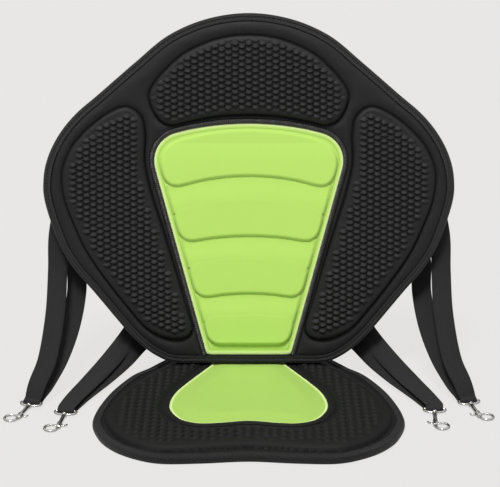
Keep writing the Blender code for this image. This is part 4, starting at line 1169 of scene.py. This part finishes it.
def cut(piece, tool_mesh, operation):
    """Joins or cuts with a tool in the piece's own frame, that is deleted at once."""
    tool = add_object(tool_mesh.name, tool_mesh)
    tool.matrix_world = piece.matrix_world
    step = piece.modifiers.new(tool_mesh.name, "BOOLEAN")
    step.operation = operation
    step.solver = "EXACT"
    step.object = tool
    bpy.context.view_layer.update()
    graph = bpy.context.evaluated_depsgraph_get()
    result = bpy.data.meshes.new_from_object(piece.evaluated_get(graph))
    piece.modifiers.clear()
    piece.data = result
    bpy.data.objects.remove(tool, do_unlink=True)


def slab(name, outline, low, high, bevel=0):
    """An extruded outline, with rounded edges if bevel says how wide."""
    mesh = skin(name, [at_height(outline, low), at_height(outline, high)])
    if bevel:
        shell = bmesh.new()
        shell.from_mesh(mesh)
        rims = [edge for edge in shell.edges if edge.calc_face_angle(0) > math.radians(50)]
        bmesh.ops.bevel(shell, geom=rims, offset=bevel, segments=3, affect="EDGES", profile=0.5,
                        clamp_overlap=True)
        shell.to_mesh(mesh)
        shell.free()
        outward(mesh)
        mesh.set_sharp_from_angle(angle=math.radians(50))
    return mesh


def box_outline(half, low, high):
    return np.array([(-half, low), (half, low), (half, high), (-half, high)])


def bore_for_pin(piece):
    """The hole for the gate pin, through a hook's block or through a gate."""
    angles = np.arange(24) * math.tau / 24
    hole = np.stack([GATE_HOLE * np.cos(angles), PIVOT_ALONG + GATE_HOLE * np.sin(angles)], 1)
    cut(piece, slab("pin_hole", hole, -0.004, 0.004), "DIFFERENCE")


def finish_metal(piece):
    piece.data.shade_smooth()
    piece.data.set_sharp_from_angle(angle=math.radians(35))


def dress_eye(name, matrix):
    half = EYE_INNER / 2 + EYE_WIRE
    shares = np.array([(0.87, 0.0), (0.97, 0.06), (1.0, 0.22), (0.96, 0.48), (0.80, 0.74),
                       (0.50, 0.93), (0.0, 1.0)]) * (half, EYE_DEPTH)
    loop = np.vstack([shares, shares[-2::-1] * (-1, 1)])
    mesh = wire(f"{name}_eye", even(smooth(loop, 8, True), 72, True), EYE_WIRE, 14, True)
    piece = new_piece(f"{name}_eye", mesh, NICKEL, matrix=matrix,
                      replaces=[f"{name}_swivel_eye"])
    far = COLLAR_NEAR + COLLAR_LENGTH
    lip = 0.0006
    collar = turned("collar", [
        (COLLAR_NEAR, COLLAR_RADIUS - lip), (COLLAR_NEAR + lip * 0.4, COLLAR_RADIUS - lip * 0.3),
        (COLLAR_NEAR + lip, COLLAR_RADIUS), (far - lip, COLLAR_RADIUS),
        (far - lip * 0.4, COLLAR_RADIUS - lip * 0.3), (far, COLLAR_RADIUS - lip)])
    cut(piece, collar, "UNION")
    hole = RIVET_RADIUS + GAP
    cut(piece, turned("bore", [(COLLAR_NEAR - 0.004, hole), (far + 0.004, hole)]), "DIFFERENCE")
    finish_metal(piece)


def dress_hook(name, side, matrix):
    head = COLLAR_NEAR - GAP
    dome = [(head - RIVET_HEAD_LENGTH * math.sin(a), RIVET_HEAD_RADIUS * math.cos(a))
            for a in np.linspace(math.radians(84), 0, 8)]
    profile = dome + [
        (head, RIVET_HEAD_RADIUS), (head, RIVET_RADIUS), (BARREL_NEAR, RIVET_RADIUS),
        (BARREL_NEAR, BARREL_RADIUS * 0.82), (BARREL_NEAR + 0.0005, BARREL_RADIUS * 0.95),
        (BARREL_NEAR + 0.0012, BARREL_RADIUS), (BLOCK_NEAR - 0.0012, BARREL_RADIUS * 0.94),
        (BLOCK_NEAR + 0.001, BARREL_RADIUS * 0.90)]
    piece = new_piece(f"{name}_hook_shank", turned(f"{name}_hook_shank", profile), NICKEL,
                      f"{name}_hook", matrix, [f"{name}_snap_hook"])
    outline = box_outline(BLOCK_HALF_WIDTH, BLOCK_NEAR, BLOCK_NEAR + BLOCK_LENGTH)
    cut(piece, slab("gate_block", outline, -BLOCK_HALF_HEIGHT, BLOCK_HALF_HEIGHT, 0.0009), "UNION")
    path = [(0, PIVOT_ALONG + SLOT_LENGTH / 2 + 0.001)]
    for step in range(61):
        angle = math.pi - (math.pi - RING_END_ANGLE) * step / 60
        across = side * RING_RADIUS * (1 + math.cos(angle))
        path.append((across, RING_ALONG + RING_RADIUS * math.sin(angle)))
    cut(piece, wire("ring", np.array(path), RING_WIRE, 18), "UNION")
    outline = box_outline(0.006, PIVOT_ALONG - SLOT_LENGTH / 2, PIVOT_ALONG + SLOT_LENGTH / 2)
    cut(piece, slab("slot", outline, -SLOT_HEIGHT / 2, SLOT_HEIGHT / 2), "DIFFERENCE")
    bore_for_pin(piece)
    finish_metal(piece)


def dress_gate(name, side, matrix):
    ring_end = RING_RADIUS + RING_RADIUS * math.cos(RING_END_ANGLE)
    arm = ring_end - RING_WIRE * math.sin(abs(RING_END_ANGLE + math.pi / 2)) - 2 * GAP
    half, boss, thumb = GATE_ARM_HALF, GATE_BOSS, THUMB_REACH
    points = [
        (arm, -half * 0.8), (arm, half * 0.8), (arm * 0.6, half), (boss * 0.9, half * 1.05),
        (boss * 0.3, boss * 0.97), (-boss * 0.4, boss * 0.95), (-boss, half),
        (-thumb * 0.45, half * 0.85), (-thumb * 0.74, half * 0.5), (-thumb * 0.93, -half * 0.8),
        (-thumb, -half * 3.2), (-thumb * 0.92, -half * 3.7), (-thumb * 0.84, -half * 3.4),
        (-thumb * 0.76, -half * 1.7), (-thumb * 0.58, -half), (-boss, -half),
        (-boss * 0.4, -boss * 0.95), (boss * 0.3, -boss * 0.97), (boss * 0.9, -half * 1.05),
        (arm * 0.6, -half)]
    outline = smooth(points, 4, True) * (side, 1)
    outline[:, 0] = np.clip(outline[:, 0], -arm if side < 0 else -thumb, arm if side > 0 else thumb)
    outline = outline + (0, PIVOT_ALONG)
    low = -SLOT_HEIGHT / 2 + GAP
    mesh = slab(f"{name}_gate_arm", outline, low, low + GATE_THICKNESS, 0.0003)
    piece = new_piece(f"{name}_gate_arm", mesh, NICKEL, f"{name}_gate_lever",
                      matrix, [f"{name}_gate"])
    bore_for_pin(piece)
    finish_metal(piece)


def repaint(node, material):
    """A CAD node that stays keeps its shape and gets a finished material."""
    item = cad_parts[node]
    item.data.materials.clear()
    item.data.materials.append(material)


def soften(node, width):
    """Rounded edges on a CAD node that stays."""
    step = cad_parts[node].modifiers.new("rounded_edges", "BEVEL")
    step.width = width
    step.segments = 2
    step.limit_method = "ANGLE"
    step.angle_limit = math.radians(40)


def repaint_nodes():
    for node, material in (("back_foam_core", FOAM), ("seat_foam_core", FOAM),
                           ("back_stiffener", SHEET), ("back_rear_cover", REAR_CLOTH),
                           ("seat_base_cover", REAR_CLOTH), ("hinge_strip", REAR_CLOTH)):
        repaint(node, material)
    for name in HOOKS:
        repaint(f"{name}_anchor_patch", REAR_CLOTH)
        repaint(f"{name}_slider_tab", REAR_CLOTH)
        repaint(f"{name}_slider", NICKEL)
        soften(f"{name}_slider", 0.0005)
        repaint(f"{name}_gate_pin", STEEL)
        repaint(f"{name}_gate_spring", STEEL)


# Camera, light and floor

CAMERA_PLACE = (0.0016, -2.0593, 0.8518)
CAMERA_PITCH = math.radians(18)
CAMERA_LENS = 124.1
FLOOR_REACH = 14
FLOOR_GREY = (0.05, 0.05, 0.05)
FLOOR_GLOW = (0.750, 0.744, 0.730)      # evens the floor out, as a lit studio sheet does
SUN_STRENGTH = 2.6
SUN_ANGLE = math.radians(16)
SUN_WAY = (-0.15, -0.45, 1.0)
BACKGROUND = (0.80, 0.80, 0.79)
AMBIENT = 0.33


def set_background(node, colour, strength):
    node.inputs["Color"].default_value = (*colour, 1)
    node.inputs["Strength"].default_value = strength


def split_rays(nodes, links, is_kind, usual, special):
    """Shows special to one kind of ray, and usual to the others."""
    mix = add_node(nodes, "ShaderNodeMixShader")
    for place, output in enumerate((is_kind, usual, special)):
        links.new(output, mix.inputs[place])
    return mix.outputs[0]


def make_stage():
    camera = add_object("camera", bpy.data.cameras.new("camera"))
    camera.location = CAMERA_PLACE
    camera.rotation_euler = (math.pi / 2 - CAMERA_PITCH, 0, 0)
    camera.data.lens = CAMERA_LENS
    camera.data.sensor_width = 36
    bpy.context.scene.camera = camera

    mesh = bpy.data.meshes.new("floor")
    corners = at_height(box_outline(FLOOR_REACH, -FLOOR_REACH, FLOOR_REACH), 0)
    mesh.from_pydata(corners.tolist(), [], [(0, 1, 2, 3)])
    floor = add_object("floor", mesh)
    floor.location.z = CAD_BOX[0].z - 0.0002
    material, _, _, shader = start_material("pale_floor", FLOOR_GREY, 0.9, specular=0.0)
    shader.inputs["Emission Color"].default_value = (*FLOOR_GLOW, 1)
    shader.inputs["Emission Strength"].default_value = 1.0
    mesh.materials.append(material)

    sun = add_object("key", bpy.data.lights.new("key", "SUN"))
    sun.data.energy = SUN_STRENGTH
    sun.data.angle = SUN_ANGLE
    sun.rotation_euler = Vector(SUN_WAY).to_track_quat("Z", "Y").to_euler()

    world = bpy.data.worlds.new("studio")
    bpy.context.scene.world = world
    world.use_nodes = True
    nodes, links = world.node_tree.nodes, world.node_tree.links
    seen = nodes["Background"]
    set_background(seen, BACKGROUND, 1.0)
    ambient = add_node(nodes, "ShaderNodeBackground")
    set_background(ambient, (1.0, 1.0, 1.0), AMBIENT)
    # What shiny metal mirrors: a bright box overhead, darker walls round it
    mirrored = add_node(nodes, "ShaderNodeBackground")
    way = add_node(nodes, "ShaderNodeSeparateXYZ")
    links.new(add_node(nodes, "ShaderNodeTexCoord").outputs["Generated"], way.inputs[0])
    walls = add_node(nodes, "ShaderNodeValToRGB")
    for element, place, grey in zip(walls.color_ramp.elements, (0.35, 0.62), (0.05, 1.1)):
        element.position = place
        element.color = (grey, grey, grey, 1)
    links.new(way.outputs["Z"], walls.inputs[0])
    links.new(walls.outputs["Color"], mirrored.inputs["Color"])
    ray = add_node(nodes, "ShaderNodeLightPath").outputs
    lit = split_rays(nodes, links, ray["Is Glossy Ray"], ambient.outputs[0], mirrored.outputs[0])
    shown = split_rays(nodes, links, ray["Is Camera Ray"], lit, seen.outputs[0])
    links.new(shown, nodes["World Output"].inputs["Surface"])
    bpy.context.scene.view_settings.view_transform = "Standard"


dress_backrest()
dress_seat()
for strap in HOOKS:
    place = hook_matrix(strap)
    ring_side = -1 if HOOKS[strap][0] > 0 else 1
    dress_strap(strap)
    dress_eye(strap, place)
    dress_hook(strap, ring_side, place)
    dress_gate(strap, ring_side, place)
repaint_nodes()
make_stage()
